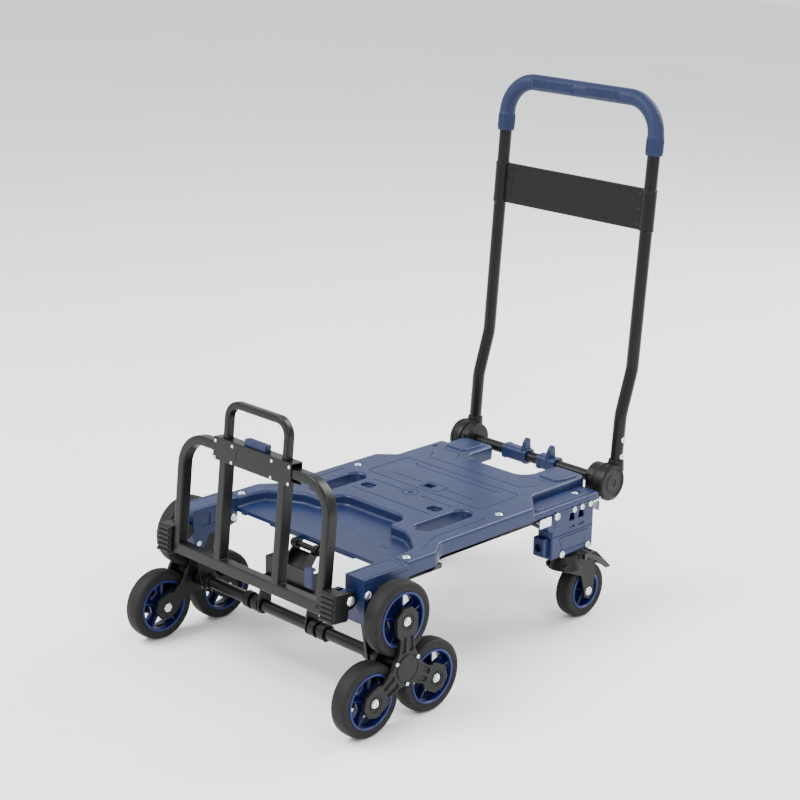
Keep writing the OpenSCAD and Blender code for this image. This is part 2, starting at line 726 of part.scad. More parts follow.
module caster_fork() {
    color(black) translate([caster_x, caster_y, 0]) difference() {
        union() {
            translate([0, 0, 103]) cylinder(r1 = fork_half + 9, r2 = fork_half, h = fork_top - 103, $fn = 96);
            box([-fork_half, -12, 103], [fork_half, trail + 4, 118]);
            for (x = [-fork_half, fork_half - fork_plate]) side(x, x + fork_plate)
                union() {
                    polygon([[-26, 112], [-8, 118], [trail + 4, 118], [trail + 16, 100], [trail + 12, caster_r],
                             [trail - 12, caster_r], [trail - 22, 84], [-24, 103]]);
                    translate([trail, caster_r]) circle(r = 13);
                }
        }
        translate([0, 0, 111.5]) cylinder(r = king_r + run_gap, h = 40);
        rod_x(pin_r + eps, -40, 40, trail, caster_r);
        intersection() {
            rod_x(caster_r + 3.5, -fork_half + fork_plate, fork_half - fork_plate, trail, caster_r);
            box([-fork_half, -60, 0], [fork_half, 200, 108]);
        }
    }
}
module caster_fork_l() { left() caster_fork(); }
module caster_fork_r() { caster_fork(); }
module at_caster() { translate([caster_x, caster_y + trail, caster_r]) children(); }
module caster_axle() {
    color(zinc) at_caster() {
        rod_x(pin_r, -fork_half, fork_half, 0, 0);
        dome_x(8, 3, fork_half, 0, 0);
        mirror([1, 0, 0]) dome_x(8, 3, fork_half, 0, 0);
    }
}
module caster_axle_l() { left() caster_axle(); }
module caster_axle_r() { caster_axle(); }
module caster_tyre_r() { color(rubber) at_caster() tyre(caster_r, 33, caster_w); }
module caster_tyre_l() { left() caster_tyre_r(); }
module caster_rim_r() { color(navy_dark) at_caster() rim(33, caster_w - 1, pin_r, 11, 5); }
module caster_rim_l() { left() caster_rim_r(); }
brake_y = 26;                            // brake pedal hinge, behind the swivel axis
brake_z = 121.5;
module brake_pedal() {
    color(black) translate([caster_x, caster_y, 0]) {
        for (s = [-1, 1]) side(s * 24.5 - 2.5, s * 24.5 + 2.5)
            polygon([[brake_y - 5, brake_z - 6], [brake_y - 5, brake_z + 4], [brake_y + 26, brake_z + 2],
                     [brake_y + 62, 88], [brake_y + 56, 84], [brake_y + 30, 104], [brake_y + 10, 112]]);
        side(-27, 27) polygon([[brake_y + 22, brake_z - 1], [brake_y + 26, brake_z + 2], [brake_y + 66, 86],
                               [brake_y + 61, 84], [brake_y + 58, 88]]);
        both() rod_x(3, fork_half + 0.5, 23, brake_y, brake_z);
    }
}
module brake_pedal_l() { left() brake_pedal(); }
module brake_pedal_r() { brake_pedal(); }

deck_panel();
deck_screws();
underframe();
hub_bases();
latch_plates();
release_bar();
release_paddles();
handle_tube();
handle_grip();
handle_panel();
handle_hubs();
handle_bolts();
corner_block_l();
corner_block_r();
block_bolts();
axle_arms();
axle_bracket();
release_clip();
axle_tube();
axle_collars();
star_plates_l();
star_plates_r();
star_bolts_l();
star_bolts_r();
star_tyre_l1();
star_tyre_l2();
star_tyre_l3();
star_tyre_r1();
star_tyre_r2();
star_tyre_r3();
star_rim_l1();
star_rim_l2();
star_rim_l3();
star_rim_r1();
star_rim_r2();
star_rim_r3();
toe_frame();
toe_cover();
toe_rivets();
toe_feet();
toe_slider();
toe_button();
rear_leg_l();
rear_leg_r();
leg_bolts_l();
leg_bolts_r();
caster_plate_l();
caster_plate_r();
caster_fork_l();
caster_fork_r();
caster_axle_l();
caster_axle_r();
caster_tyre_l();
caster_tyre_r();
caster_rim_l();
caster_rim_r();
brake_pedal_l();
brake_pedal_r();
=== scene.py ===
"""Looks of the folding stair-climbing platform trolley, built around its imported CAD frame.

Shapes are made in millimetres as bmeshes, in the row frame, and each finished piece is scaled to
metres, given its material and put on the CAD body that carries it.
"""
import math

import bmesh
import bpy
from mathutils import Matrix, Vector


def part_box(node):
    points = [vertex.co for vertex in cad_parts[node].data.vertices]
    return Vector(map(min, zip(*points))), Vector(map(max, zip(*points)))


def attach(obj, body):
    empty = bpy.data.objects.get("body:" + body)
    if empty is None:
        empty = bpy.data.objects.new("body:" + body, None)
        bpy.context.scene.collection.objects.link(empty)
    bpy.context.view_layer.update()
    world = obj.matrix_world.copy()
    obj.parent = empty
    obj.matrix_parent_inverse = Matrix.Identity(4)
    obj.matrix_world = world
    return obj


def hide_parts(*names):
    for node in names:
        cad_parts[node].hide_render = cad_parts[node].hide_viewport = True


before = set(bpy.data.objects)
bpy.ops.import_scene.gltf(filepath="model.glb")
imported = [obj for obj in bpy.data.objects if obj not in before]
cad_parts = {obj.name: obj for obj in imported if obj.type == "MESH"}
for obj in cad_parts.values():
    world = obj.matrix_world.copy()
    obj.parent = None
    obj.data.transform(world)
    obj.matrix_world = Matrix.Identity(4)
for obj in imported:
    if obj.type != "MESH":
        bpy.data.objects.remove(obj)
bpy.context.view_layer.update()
MM = 0.001
ALONG_X = Matrix(((0, 0, 1, 0), (1, 0, 0, 0), (0, 1, 0, 0), (0, 0, 0, 1)))  # outline Y, Z; depth X
ALONG_Y = Matrix(((1, 0, 0, 0), (0, 0, 1, 0), (0, 1, 0, 0), (0, 0, 0, 1)))  # outline X, Z; depth Y
MIRROR_X = Matrix.Diagonal((-1, 1, 1, 1))


# ---- places, from the frame ----
def mm_box(node):
    """Lowest and highest corner of a CAD node, in millimetres"""
    low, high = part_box(node)
    return low / MM, high / MM


def middle(node):
    low, high = mm_box(node)
    return (low + high) / 2


def cad_copy(node):
    """A welded bmesh of a CAD node, in millimetres, with its flat faces joined"""
    bm = bmesh.new()
    bm.from_mesh(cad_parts[node].data)
    bmesh.ops.scale(bm, vec=(1 / MM,) * 3, verts=bm.verts)
    bmesh.ops.remove_doubles(bm, verts=bm.verts, dist=0.002)
    bmesh.ops.dissolve_limit(bm, angle_limit=math.radians(1), verts=bm.verts, edges=bm.edges)
    return bm


def islands(node):
    """(lowest, highest corner) of each separate solid of a CAD node, in millimetres"""
    bm = cad_copy(node)
    left, found = set(bm.verts), []
    while left:
        front = [left.pop()]
        solid = list(front)
        while front:
            for edge in front.pop().link_edges:
                for vert in edge.verts:
                    if vert in left:
                        left.remove(vert)
                        front.append(vert)
                        solid.append(vert)
        low = Vector([min(v.co[i] for v in solid) for i in range(3)])
        high = Vector([max(v.co[i] for v in solid) for i in range(3)])
        found.append((low, high))
    bm.free()
    return found


# ---- shapes ----
def arc(cx, cy, r, start, end, steps=8):
    turn = [math.radians(start + (end - start) * i / steps) for i in range(steps + 1)]
    return [(cx + r * math.cos(a), cy + r * math.sin(a)) for a in turn]


def rounded(points, steps=6):
    """A closed outline through (x, y, radius) corners"""
    out = []
    for i, (x, y, r) in enumerate(points):
        here = Vector((x, y))
        a = (Vector(points[i - 1][:2]) - here)
        b = (Vector(points[(i + 1) % len(points)][:2]) - here)
        if r <= 0 or abs(a.cross(b)) < 1e-6 * a.length * b.length:
            out.append((x, y))
            continue
        half = a.angle(b) / 2
        r = min(r, 0.49 * min(a.length, b.length) * math.tan(half))
        reach = r / math.tan(half)
        centre = here + (a.normalized() + b.normalized()).normalized() * (r / math.sin(half))
        first, last = here + a.normalized() * reach - centre, here + b.normalized() * reach - centre
        turn = first.angle_signed(last)
        for k in range(steps + 1):
            p = centre + Matrix.Rotation(-turn * k / steps, 2) @ first
            out.append((p.x, p.y))
    return out


def both_sides(half):
    """The right half of an outline, from front to rear, and its mirror image"""
    return half + [(-p[0],) + tuple(p[1:]) for p in reversed(half)]


def stadium(x, y0, y1, r, steps=12):
    return arc(x, y1, r, 0, 180, steps) + arc(x, y0, r, 180, 360, steps)


def rectangle(x0, y0, x1, y1, r=0.0):
    return rounded([(x0, y0, r), (x1, y0, r), (x1, y1, r), (x0, y1, r)])


def disc(x, y, r, steps=40):
    return arc(x, y, r, 0, 360 - 360 / steps, steps - 1)


def inset(outline, d):
    """The outline moved inwards by d along its own normals"""
    area = sum(a[0] * b[1] - b[0] * a[1] for a, b in zip(outline, outline[1:] + outline[:1]))
    side = 1 if area > 0 else -1
    out = []
    for i, p in enumerate(outline):
        a = Vector(p) - Vector(outline[i - 1])
        b = Vector(outline[(i + 1) % len(outline)]) - Vector(p)
        na, nb = Vector((-a.y, a.x)).normalized(), Vector((-b.y, b.x)).normalized()
        mid = (na + nb).normalized()
        step = d * side / max(mid.dot(na), 0.4)
        out.append((p[0] + mid.x * step, p[1] + mid.y * step))
    return out


def prism(outline, profile, turn=None):
    """A solid through copies of the outline, one for each (inset, depth) of the profile"""
    bm = bmesh.new()
    rings = []
    for d, z in profile:
        ring = inset(outline, d) if d else outline
        rings.append([bm.verts.new((x, y, z)) for x, y in ring])
    count = len(outline)
    for low, high in zip(rings, rings[1:]):
        for i in range(count):
            k = (i + 1) % count
            bm.faces.new((low[i], low[k], high[k], high[i]))
    bm.faces.new(list(reversed(rings[0])))
    bm.faces.new(rings[-1])
    if turn is not None:
        bmesh.ops.transform(bm, matrix=turn, verts=bm.verts)
    bmesh.ops.recalc_face_normals(bm, faces=bm.faces)
    return bm


def soft_edges(z0, z1, low, high, steps=4):
    """A prism profile with its lower and upper edges rounded"""
    lower, upper = [(0, z0)], [(0, z1)]
    quarter = [math.pi / 2 * i / steps for i in range(steps + 1)]
    if low:
        lower = [(low - low * math.sin(a), z0 + low - low * math.cos(a)) for a in quarter]
    if high:
        upper = [(high - high * math.cos(a), z1 - high + high * math.sin(a)) for a in quarter]
    return lower + upper


def flared(z0, z1, r, floor=0.0, over=3, steps=5):
    """A cutter's profile: it leaves a rounded rim at z1 and, with floor, a rounded bottom at z0"""
    lower = [(0, z0)]
    quarter = [math.pi / 2 * i / steps for i in range(steps + 1)]
    if floor:
        lower = [(floor - floor * math.sin(a), z0 + floor - floor * math.cos(a)) for a in quarter]
    upper = [(r * math.cos(a) - r, z1 - r + r * math.sin(a)) for a in quarter]
    return lower + upper + [(-r, z1 + over)]


def block(low, high, r=1.0, steps=3):
    """A box with all its edges rounded"""
    bm = bmesh.new()
    bmesh.ops.create_cube(bm, size=1)
    size = [b - a for a, b in zip(low, high)]
    centre = [(a + b) / 2 for a, b in zip(low, high)]
    bmesh.ops.scale(bm, vec=size, verts=bm.verts)
    bmesh.ops.translate(bm, vec=centre, verts=bm.verts)
    if r:
        bmesh.ops.bevel(bm, geom=bm.edges[:], offset=min(r, 0.45 * min(size)), segments=steps,
                        profile=0.5, affect="EDGES")
    return bm


def lathe(profile, steps=64, axis="X", at=(0, 0, 0)):
    """A solid of revolution through (radius, along) points, closed on itself or on its axis"""
    bm = bmesh.new()
    loop = profile[0] == profile[-1]
    points = profile[:-1] if loop else profile
    rings = []
    for r, h in points:
        if r < 1e-6:
            rings.append([bm.verts.new((0, 0, h))])
            continue
        angles = [2 * math.pi * i / steps for i in range(steps)]
        rings.append([bm.verts.new((r * math.cos(a), r * math.sin(a), h)) for a in angles])
    pairs = list(zip(rings, rings[1:])) + ([(rings[-1], rings[0])] if loop else [])
    for low, high in pairs:
        for i in range(steps):
            k = (i + 1) % steps
            corners = [low[i % len(low)], low[k % len(low)], high[k % len(high)], high[i % len(high)]]
            unique = list(dict.fromkeys(corners))
            if len(unique) > 2:
                bm.faces.new(unique)
    if axis == "X":
        bmesh.ops.transform(bm, matrix=ALONG_X, verts=bm.verts)
    bmesh.ops.translate(bm, vec=at, verts=bm.verts)
    bmesh.ops.recalc_face_normals(bm, faces=bm.faces)
    return bm


def rod(r, x0, x1, at=(0, 0), edge=0.8, steps=48, bore=0.0):
    """A bar along X with rounded ends, or a bush where it has a bore"""
    quarter = [math.pi / 2 * i / 3 for i in range(4)]
    wall = [(r - edge + edge * math.sin(a), x0 + edge - edge * math.cos(a)) for a in quarter]
    wall += [(r - edge + edge * math.cos(a), x1 - edge + edge * math.sin(a)) for a in quarter]
    ends = [(bore, x0)], [(bore, x1)]
    profile = ends[0] + wall + ends[1]
    if bore:
        profile.append(profile[0])
    return lathe(profile, steps, "X", (0, at[0], at[1]))


def bent_path(points, steps=10):
    """Points along straight runs with bends: (x, y, z, radius) corners"""
    out = []
    for i, p in enumerate(points):
        here, r = Vector(p[:3]), p[3]
        if not r:
            out.append(here)
            continue
        a = (Vector(points[i - 1][:3]) - here).normalized()
        b = (Vector(points[i + 1][:3]) - here).normalized()
        half = a.angle(b) / 2
        centre = here + (a + b).normalized() * (r / math.sin(half))
        first, last = here + a * (r / math.tan(half)) - centre, here + b * (r / math.tan(half)) - centre
        turn = first.rotation_difference(last)
        for k in range(steps + 1):
            out.append(centre + Matrix.Rotation(turn.angle * k / steps, 3, turn.axis) @ first)
    return out


def spaced(path, gap):
    """The same path with its points a gap apart"""
    out = [path[0]]
    for a, b in zip(path, path[1:]):
        count = max(1, round((b - a).length / gap))
        out += [a.lerp(b, k / count) for k in range(1, count + 1)]
    return out


def sweep(path, section, up, swell=None):
    """A capped bar along the path; section points are (across, up); swell(length) scales it"""
    bm = bmesh.new()
    rings, run = [], 0.0
    for i, p in enumerate(path):
        back, ahead = path[max(i - 1, 0)], path[min(i + 1, len(path) - 1)]
        run += (p - back).length
        along = (ahead - back).normalized()
        across = along.cross(up).normalized()
        over = across.cross(along)
        k = swell(run) if swell else 1.0
        rings.append([bm.verts.new(p + across * (u * k) + over * (v * k)) for u, v in section])
    count = len(section)
    for low, high in zip(rings, rings[1:]):
        for i in range(count):
            j = (i + 1) % count
            bm.faces.new((low[i], low[j], high[j], high[i]))
    bm.faces.new(rings[0])
    bm.faces.new(list(reversed(rings[-1])))
    bmesh.ops.recalc_face_normals(bm, faces=bm.faces)
    return bm


def groove(points, r=1.1, z=0.0):
    """A cutter for a round-bottomed groove along (x, y) points on a level face"""
    path = [Vector((x, y, z)) for x, y in points]
    return sweep(path, disc(0, 0, r, 8), Vector((0, 0, 1)))


def joined(*parts):
    """One bmesh of several, their shells left as they are"""
    out = bmesh.new()
    for bm in parts:
        mesh = bpy.data.meshes.new("scratch")
        bm.to_mesh(mesh)
        bm.free()
        out.from_mesh(mesh)
        bpy.data.meshes.remove(mesh)
    return out


def moved(bm, matrix):
    """A copy of a bmesh under a matrix, with its faces still outwards"""
    out = bm.copy()
    bmesh.ops.transform(out, matrix=matrix, verts=out.verts)
    if matrix.determinant() < 0:
        bmesh.ops.reverse_faces(out, faces=out.faces)
    return out


def boolean(a, b, operation="DIFFERENCE"):
    """Bmesh a, cut by or joined with bmesh b; both are used up"""
    solids = []
    for bm in (a, b):
        mesh = bpy.data.meshes.new("scratch")
        bm.to_mesh(mesh)
        bm.free()
        solids.append(bpy.data.objects.new("scratch", mesh))
        bpy.context.scene.collection.objects.link(solids[-1])
    step = solids[0].modifiers.new("cut", "BOOLEAN")
    step.operation, step.object, step.solver = operation, solids[1], "EXACT"
    step.use_self = True
    seen = solids[0].evaluated_get(bpy.context.evaluated_depsgraph_get())
    out = bmesh.new()
    out.from_mesh(seen.to_mesh())
    seen.to_mesh_clear()
    for obj in solids:
        mesh = obj.data
        bpy.data.objects.remove(obj)
        bpy.data.meshes.remove(mesh)
    return out


def cut(solid, *cutters):
    return boolean(solid, joined(*cutters))


def softened(bm, width, angle=35, steps=2):
    """The bmesh with its sharp edges rounded"""
    sharp = [e for e in bm.edges if len(e.link_faces) == 2 and e.calc_face_angle(0) > math.radians(angle)]
    bmesh.ops.bevel(bm, geom=sharp, offset=width, segments=steps, profile=0.5, affect="EDGES",
                    clamp_overlap=True)
    return bm


# ---- finished pieces ----
def piece(name, bm, body, material, nodes=(), angle=32):
    """Makes the bmesh a piece that rides on a body and stands for CAD nodes"""
    bmesh.ops.scale(bm, vec=(MM,) * 3, verts=bm.verts)
    mesh = bpy.data.meshes.new(name)
    bm.to_mesh(mesh)
    bm.free()
    return piece_of(name, mesh, body, material, nodes, angle=angle)


def piece_of(name, mesh, body, material, nodes=(), place=None, angle=32):
    """Makes a mesh that is already in metres a piece, at a place of its own"""
    obj = bpy.data.objects.new(name, mesh)
    bpy.context.scene.collection.objects.link(obj)
    if place is not None:
        obj.matrix_world = place
    if not mesh.materials:
        for one in material if isinstance(material, (list, tuple)) else [material]:
            mesh.materials.append(one)
        mesh.shade_smooth()
        mesh.set_sharp_from_angle(angle=math.radians(angle))
    normals = obj.modifiers.new("normals", "WEIGHTED_NORMAL")
    normals.keep_sharp = True
    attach(obj, body)
    if nodes:
        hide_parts(*([nodes] if isinstance(nodes, str) else nodes))
    return obj


def pair(name, right, body, material, node, angle=35):
    """A right-hand shape and its mirror image as two pieces; {} in the body's name is the side"""
    left = moved(right, MIRROR_X)
    for side, bm in (("r", right), ("l", left)):
        piece(f"{name}_{side}", bm, body.format(side), material, f"{node}_{side}", angle)


# ---- materials ----
def shader(name, rough, metal=0.0, specular=0.5, coat=0.0):
    mat = bpy.data.materials.new(name)
    mat.use_nodes = True
    tree = mat.node_tree
    bsdf = tree.nodes["Principled BSDF"]
    bsdf.inputs["Roughness"].default_value = rough
    bsdf.inputs["Metallic"].default_value = metal
    bsdf.inputs["Specular IOR Level"].default_value = specular
    bsdf.inputs["Coat Weight"].default_value = coat
    return mat, tree, bsdf


def noise(tree, scale, detail=3.0, stretch=(1, 1, 1)):
    """Noise on the piece's own coordinates, scale in cycles per metre"""
    where = tree.nodes.new("ShaderNodeTexCoord")
    place = tree.nodes.new("ShaderNodeMapping")
    place.inputs["Scale"].default_value = stretch
    tex = tree.nodes.new("ShaderNodeTexNoise")
    tex.inputs["Scale"].default_value = scale
    tex.inputs["Detail"].default_value = detail
    tree.links.new(where.outputs["Object"], place.inputs["Vector"])
    tree.links.new(place.outputs["Vector"], tex.inputs["Vector"])
    return tex.outputs["Fac"]


def ramp(tree, value, low, high, low_at=0.3, high_at=0.7):
    """The value turned into a colour or a grey between two ends"""
    node = tree.nodes.new("ShaderNodeValToRGB")
    for stop, at, tone in zip(node.color_ramp.elements, (low_at, high_at), (low, high)):
        stop.position = at
        stop.color = (tone,) * 3 + (1,) if isinstance(tone, float) else tuple(tone) + (1,)
    tree.links.new(value, node.inputs["Fac"])
    return node.outputs["Color"]


def bumps(tree, bsdf, value, strength, depth):
    node = tree.nodes.new("ShaderNodeBump")
    node.inputs["Strength"].default_value = strength
    node.inputs["Distance"].default_value = depth
    tree.links.new(value, node.inputs["Height"])
    tree.links.new(node.outputs["Normal"], bsdf.inputs["Normal"])


def textured(name, dark, light, rough, grain=900, depth=0.00012, metal=0.0, specular=0.5,
             blotch=18, stretch=(1, 1, 1), coat=0.0):
    """A material whose colour drifts, whose gloss varies and whose surface has a fine grain"""
    mat, tree, bsdf = shader(name, rough, metal, specular, coat)
    colour = ramp(tree, noise(tree, blotch, 4), dark, light)
    tree.links.new(colour, bsdf.inputs["Base Color"])
    gloss = ramp(tree, noise(tree, blotch * 5, 3, stretch), rough - 0.03, rough + 0.03)
    tree.links.new(gloss, bsdf.inputs["Roughness"])
    bumps(tree, bsdf, noise(tree, grain, 2, stretch), 0.35, depth)
    return mat


NAVY = textured("navy_plastic", (0.0050, 0.0120, 0.048), (0.0075, 0.0160, 0.060), 0.38, 1400, 0.00010,
                specular=0.30)
RIM = textured("rim_plastic", (0.0018, 0.0045, 0.036), (0.0028, 0.0065, 0.048), 0.36, 1200, 0.00006,
               specular=0.25)
# painted highlight: a lighter copy of the rim's navy plastic, used for the lip along the rim's edge
RIM_LIP_PAINTED_HIGHLIGHT = textured("rim_lip_painted_highlight", (0.0035, 0.0095, 0.070), (0.0050, 0.0125, 0.086), 0.34, 1200, 0.00006,
                   specular=0.30)
BLACK_PLASTIC = textured("black_plastic", (0.0022, 0.0022, 0.0024), (0.0042, 0.0042, 0.0045), 0.44, 1300,
                         0.00014, specular=0.22)
BLACK_STEEL = textured("black_powder_coat", (0.0018, 0.0018, 0.0018), (0.0034, 0.0034, 0.0034), 0.33, 2200,
                       0.00008, specular=0.24)
ZINC = textured("zinc_plate", (0.62, 0.66, 0.68), (0.80, 0.84, 0.85), 0.28, 500, 0.00003, metal=0.85,
                blotch=140)
TYRE = textured("tyre_rubber", (0.0045, 0.0045, 0.0042), (0.0085, 0.0085, 0.0080), 0.66, 700, 0.0002,
                specular=0.22, blotch=26)
GRIP = textured("grip_rubber", (0.0050, 0.0110, 0.040), (0.0085, 0.0160, 0.054), 0.55, 1500, 0.00015,
                specular=0.25)
FLOOR = textured("studio_floor", (0.90, 0.90, 0.90), (0.93, 0.93, 0.93), 0.8, 40, 0.0002, blotch=1.5)


# ---- deck ----
deck_low, deck_high = mm_box("deck_panel")
DECK_Z, DECK_TOP = deck_low.z, deck_high.z
SKIRT_Z = DECK_Z + 3
TRAY_Z = DECK_TOP - 18
STEP_Z = DECK_TOP - 14
ARM_X, FRONT_Y, REAR_Y = deck_high.x, deck_low.y, deck_high.y
WAIST_X = ARM_X - 24
NECK_X = ARM_X - 67
STEP_Y = (90, 265)
CUT_X, CUT_Y = 72, 200
SLOT_X, SLOT_R, SLOT_Y = 125, 18, (-100, -16)


def deck_outline(d=0.0):
    half = [(ARM_X - d, FRONT_Y + d, 9), (ARM_X - d, -163, 18), (WAIST_X - d, -132, 22),
            (WAIST_X - d, 94 - d / 2, 14), (NECK_X - d, 137 - d / 2, 16), (NECK_X - d, REAR_Y - d, 18),
            (CUT_X + d, REAR_Y - d, 11), (CUT_X + d, CUT_Y - d, 26)]
    return rounded(both_sides(half), 7)


def tray_outline(d=0.0):
    half = [(181 + d, FRONT_Y - 8, 0), (180 + d, -205, 14), (174 + d, -178, 16), (141 + d, -152 + d, 12),
            (118, -140 + d, 10), (78 + d, -138 + d, 12), (78 + d, -92 + d, 26)]
    return rounded(both_sides(half), 7)


def deck_grooves():
    """Narrow decorative lines moulded into the load surface"""
    z = DECK_TOP
    hatch, label_seat = rectangle(-133, 20, 133, 120, 10), rectangle(-16, 30, 27, 57, 1)
    lines = [ring + ring[:1] for ring in (hatch, label_seat, disc(-4, -4, 14, 24))]
    lines.append([(-101, 109), (-93, 102), (93, 102), (101, 109)])
    lines.append([(-93, -56), (93, -56)])
    lines.append([(-122, 173), (-106, 150), (106, 150), (122, 173)])
    for s in (-1, 1):
        lines += [[(s * 22, 47), (s * 93, 47)], [(s * 22, -4), (s * 93, -4)]]
        lines.append([(s * 73, 184), (s * 84, 202), (s * 120, 202), (s * 133, 226)])
        lines.append([(s * 167, -4), (s * 167, -120), (s * 188, -170)])
    return [groove(line, 1.15, z) for line in lines]


def dimple(x, y):
    """A six-sided finger hollow with its hole"""
    rim = rounded([(x - 15, y - 5, 4), (x - 8, y - 12, 4), (x + 8, y - 12, 4), (x + 15, y - 5, 4),
                   (x + 11, y + 11, 5), (x - 11, y + 11, 5)], 4)
    return [prism(inset(rim, 1), flared(DECK_TOP - 6, DECK_TOP, 2.2, 1.5)),
            prism(disc(x, y, 6.5, 32), [(0, 200), (0, DECK_TOP - 2)])]


def deck_shell():
    solid = prism(deck_outline(), soft_edges(SKIRT_Z, DECK_TOP, 1, 6, 5))
    for s in (-1, 1):
        ledge = rounded([(s * 130, STEP_Y[0] + 4, 0), (s * (WAIST_X - 1), STEP_Y[0], 0),
                         (s * (WAIST_X - 1), STEP_Y[1], 8), (s * 130, STEP_Y[1], 0)])
        solid = boolean(solid, prism(ledge, soft_edges(SKIRT_Z, STEP_Z, 1, 3.5)), "UNION")
        ridge = rounded([(s * 150, 133, 5), (s * 158, 112, 6), (s * 180, 104, 8), (s * 181, 252, 10),
                         (s * 150, 252, 5)])
        solid = boolean(solid, prism(ridge, soft_edges(STEP_Z - 3, STEP_Z + 1.6, 0, 1.6)), "UNION")
    for s in (-1, 1):
        lobe = rounded([(s * 88, 216, 8), (s * 130, 216, 8), (s * 136, 236, 8), (s * 136, 270, 12),
                        (s * 84, 270, 10)])
        solid = boolean(solid, prism(lobe, soft_edges(DECK_TOP - 3, DECK_TOP + 2.4, 0, 2.4, 5)), "UNION")
    # hollow underside with its walls and ribs
    hollow = prism(deck_outline(4), [(0, SKIRT_Z - 10), (0, DECK_TOP - 4.5)])
    ledges = joined(*[block((s * (WAIST_X - 29) - 24, STEP_Y[0], SKIRT_Z - 10),
                            (s * (WAIST_X - 29) + 24, STEP_Y[1] - 4, STEP_Z - 4), 0) for s in (-1, 1)])
    hollow = boolean(hollow, ledges, "UNION")
    kept = [prism(tray_outline(4), [(0, TRAY_Z - 4), (0, DECK_TOP)])]
    for s in (-1, 1):
        kept.append(prism(stadium(s * SLOT_X, *SLOT_Y, SLOT_R + 4), [(0, SKIRT_Z), (0, DECK_TOP)]))
        kept.append(block((s * 60 - 1.5, -60, SKIRT_Z + 3), (s * 60 + 1.5, 195, DECK_TOP), 0))
    kept += [block((-140, y, SKIRT_Z + 3), (140, y + 3, DECK_TOP), 0) for y in (-75, 55, 150)]
    for x in (-78, 78):
        kept.append(prism(disc(x, -30, 19, 32), [(0, DECK_TOP - 11), (0, DECK_TOP)]))
    kept.append(block((-18, 31, DECK_TOP - 16), (10, 55, DECK_TOP), 0))
    for wall in kept:
        hollow = boolean(hollow, wall)
    solid = boolean(solid, hollow)
    # tray, hand slots, hollows and screw seats
    solid = cut(solid, prism(tray_outline(), flared(TRAY_Z, DECK_TOP, 5, 5)))
    slots = [prism(stadium(s * SLOT_X, *SLOT_Y, SLOT_R), flared(SKIRT_Z - 5, DECK_TOP, 5)) for s in (-1, 1)]
    solid = cut(solid, *slots)
    small = dimple(-78, -30) + dimple(78, -30)
    small.append(prism(rectangle(-14, 35, 6, 51, 3), flared(DECK_TOP - 12, DECK_TOP, 1.0, 1)))
    small.append(prism(disc(-4, -4, 5, 24), flared(DECK_TOP - 2, DECK_TOP, 1.5, 1)))
    for low, high in islands("deck_screws"):
        spot = (low + high) / 2
        top = STEP_Z if high.z < DECK_TOP else DECK_TOP
        small.append(prism(disc(spot.x, spot.y, 8.5), flared(top - 1.5, top, 1.2, 0.5, 6)))
    solid = cut(solid, *small)
    return cut(solid, *deck_grooves())


def tray_lip():
    """The turned-down front edge of the tray, with its two joggles"""
    drop, rise = DECK_Z, DECK_Z + 4
    half = [(178, TRAY_Z - 1, 0), (178, rise, 2), (104, rise, 4), (98, drop, 4)]
    outline = rounded([(x, z, r) for x, z, r in half] + [(-x, z, r) for x, z, r in reversed(half)], 3)
    lip = prism(outline, soft_edges(FRONT_Y + 0.1, FRONT_Y + 4, 0.8, 0.8, 3), ALONG_Y)
    seams = [block((x - 10, -180, TRAY_Z - 0.6), (x + 10, -176, TRAY_Z + 0.5), 0.4) for x in (-112, 112)]
    return joined(lip, *seams)


piece("deck_shell", deck_shell(), "deck", NAVY, "deck_panel", 28)
piece("deck_tray_lip", tray_lip(), "deck", NAVY)


# ---- wheels ----
ROUND = 96  # steps round a wheel
AXLE_BORE = 5.1


def tyre(r, seat, width):
    """A tyre with a crowned tread and rounded shoulders"""
    half = width / 2
    side = [(seat, half - 2), (seat + 1.5, half - 1), (seat + 4, half - 0.8), (r - 9, half)]
    shoulder = []
    for i in range(1, 13):
        a = math.pi / 2 * i / 12
        shoulder.append((r - 9 + 8.2 * math.sin(a) ** 0.8, half * (1 - 0.42 * (1 - math.cos(a) ** 0.8))))
    crown = [(r - 0.8 + 0.8 * math.cos(math.pi / 2 * k), half * 0.58 * k) for k in (0.8, 0.5, 0.25, 0)]
    right = side + shoulder + crown
    left = [(q, -h) for q, h in reversed(right[:-1])]
    return lathe(right + left + [right[0]], ROUND)


def rim(seat, width, bore, hub, spokes=5):
    """(body, lip) of a spoked rim with deep pockets; the lip later gets a lighter copy of the rim's navy
    plastic, a painted highlight along the rim's edge
    """
    half = width / 2
    barrel = lathe([(seat, half - 2.2), (seat, 2 - half), (seat - 4, 1 - half), (seat - 5.5, 0),
                    (seat - 4, half - 2.2), (seat, half - 2.2)], ROUND)
    hub_body = rod(hub, 1 - half, half - 1, edge=1.5, bore=bore)
    window = rounded([(hub + 7, -0.36 * (hub + 7), 3), (seat - 7, -0.47 * (seat - 7), 5),
                      (seat - 7, 0.47 * (seat - 7), 5), (hub + 7, 0.36 * (hub + 7), 3)], 4)
    web = lathe([(seat - 4, -2), (seat - 4, 2), (hub - 1, 2), (hub - 1, -2), (seat - 4, -2)], ROUND)
    windows, parts = [], []
    for i in range(spokes):
        spin = Matrix.Rotation(math.radians(90 + (i + 0.5) * 360 / spokes), 4, "X")
        windows.append(moved(prism(window, [(0, -6), (0, 6)], ALONG_X), spin))
        spin = Matrix.Rotation(math.radians(90 + i * 360 / spokes), 4, "X")
        rib = block((3 - half, hub - 2, -1.5), (half - 3, seat - 3, 1.5), 0.7, 2)
        parts.append(moved(rib, spin))
    body = joined(cut(web, *windows), barrel, hub_body, *parts)
    lip = lathe([(seat - 0.3, half - 2.4), (seat + 0.6, half - 1.6), (seat + 0.4, half - 0.2),
                 (seat - 0.6, half + 0.4), (seat - 2.6, half + 0.4), (seat - 3.8, half - 0.8),
                 (seat - 4, half - 2.4), (seat - 0.3, half - 2.4)], ROUND)
    inner = moved(lip, MIRROR_X)
    return body, joined(lip, inner)


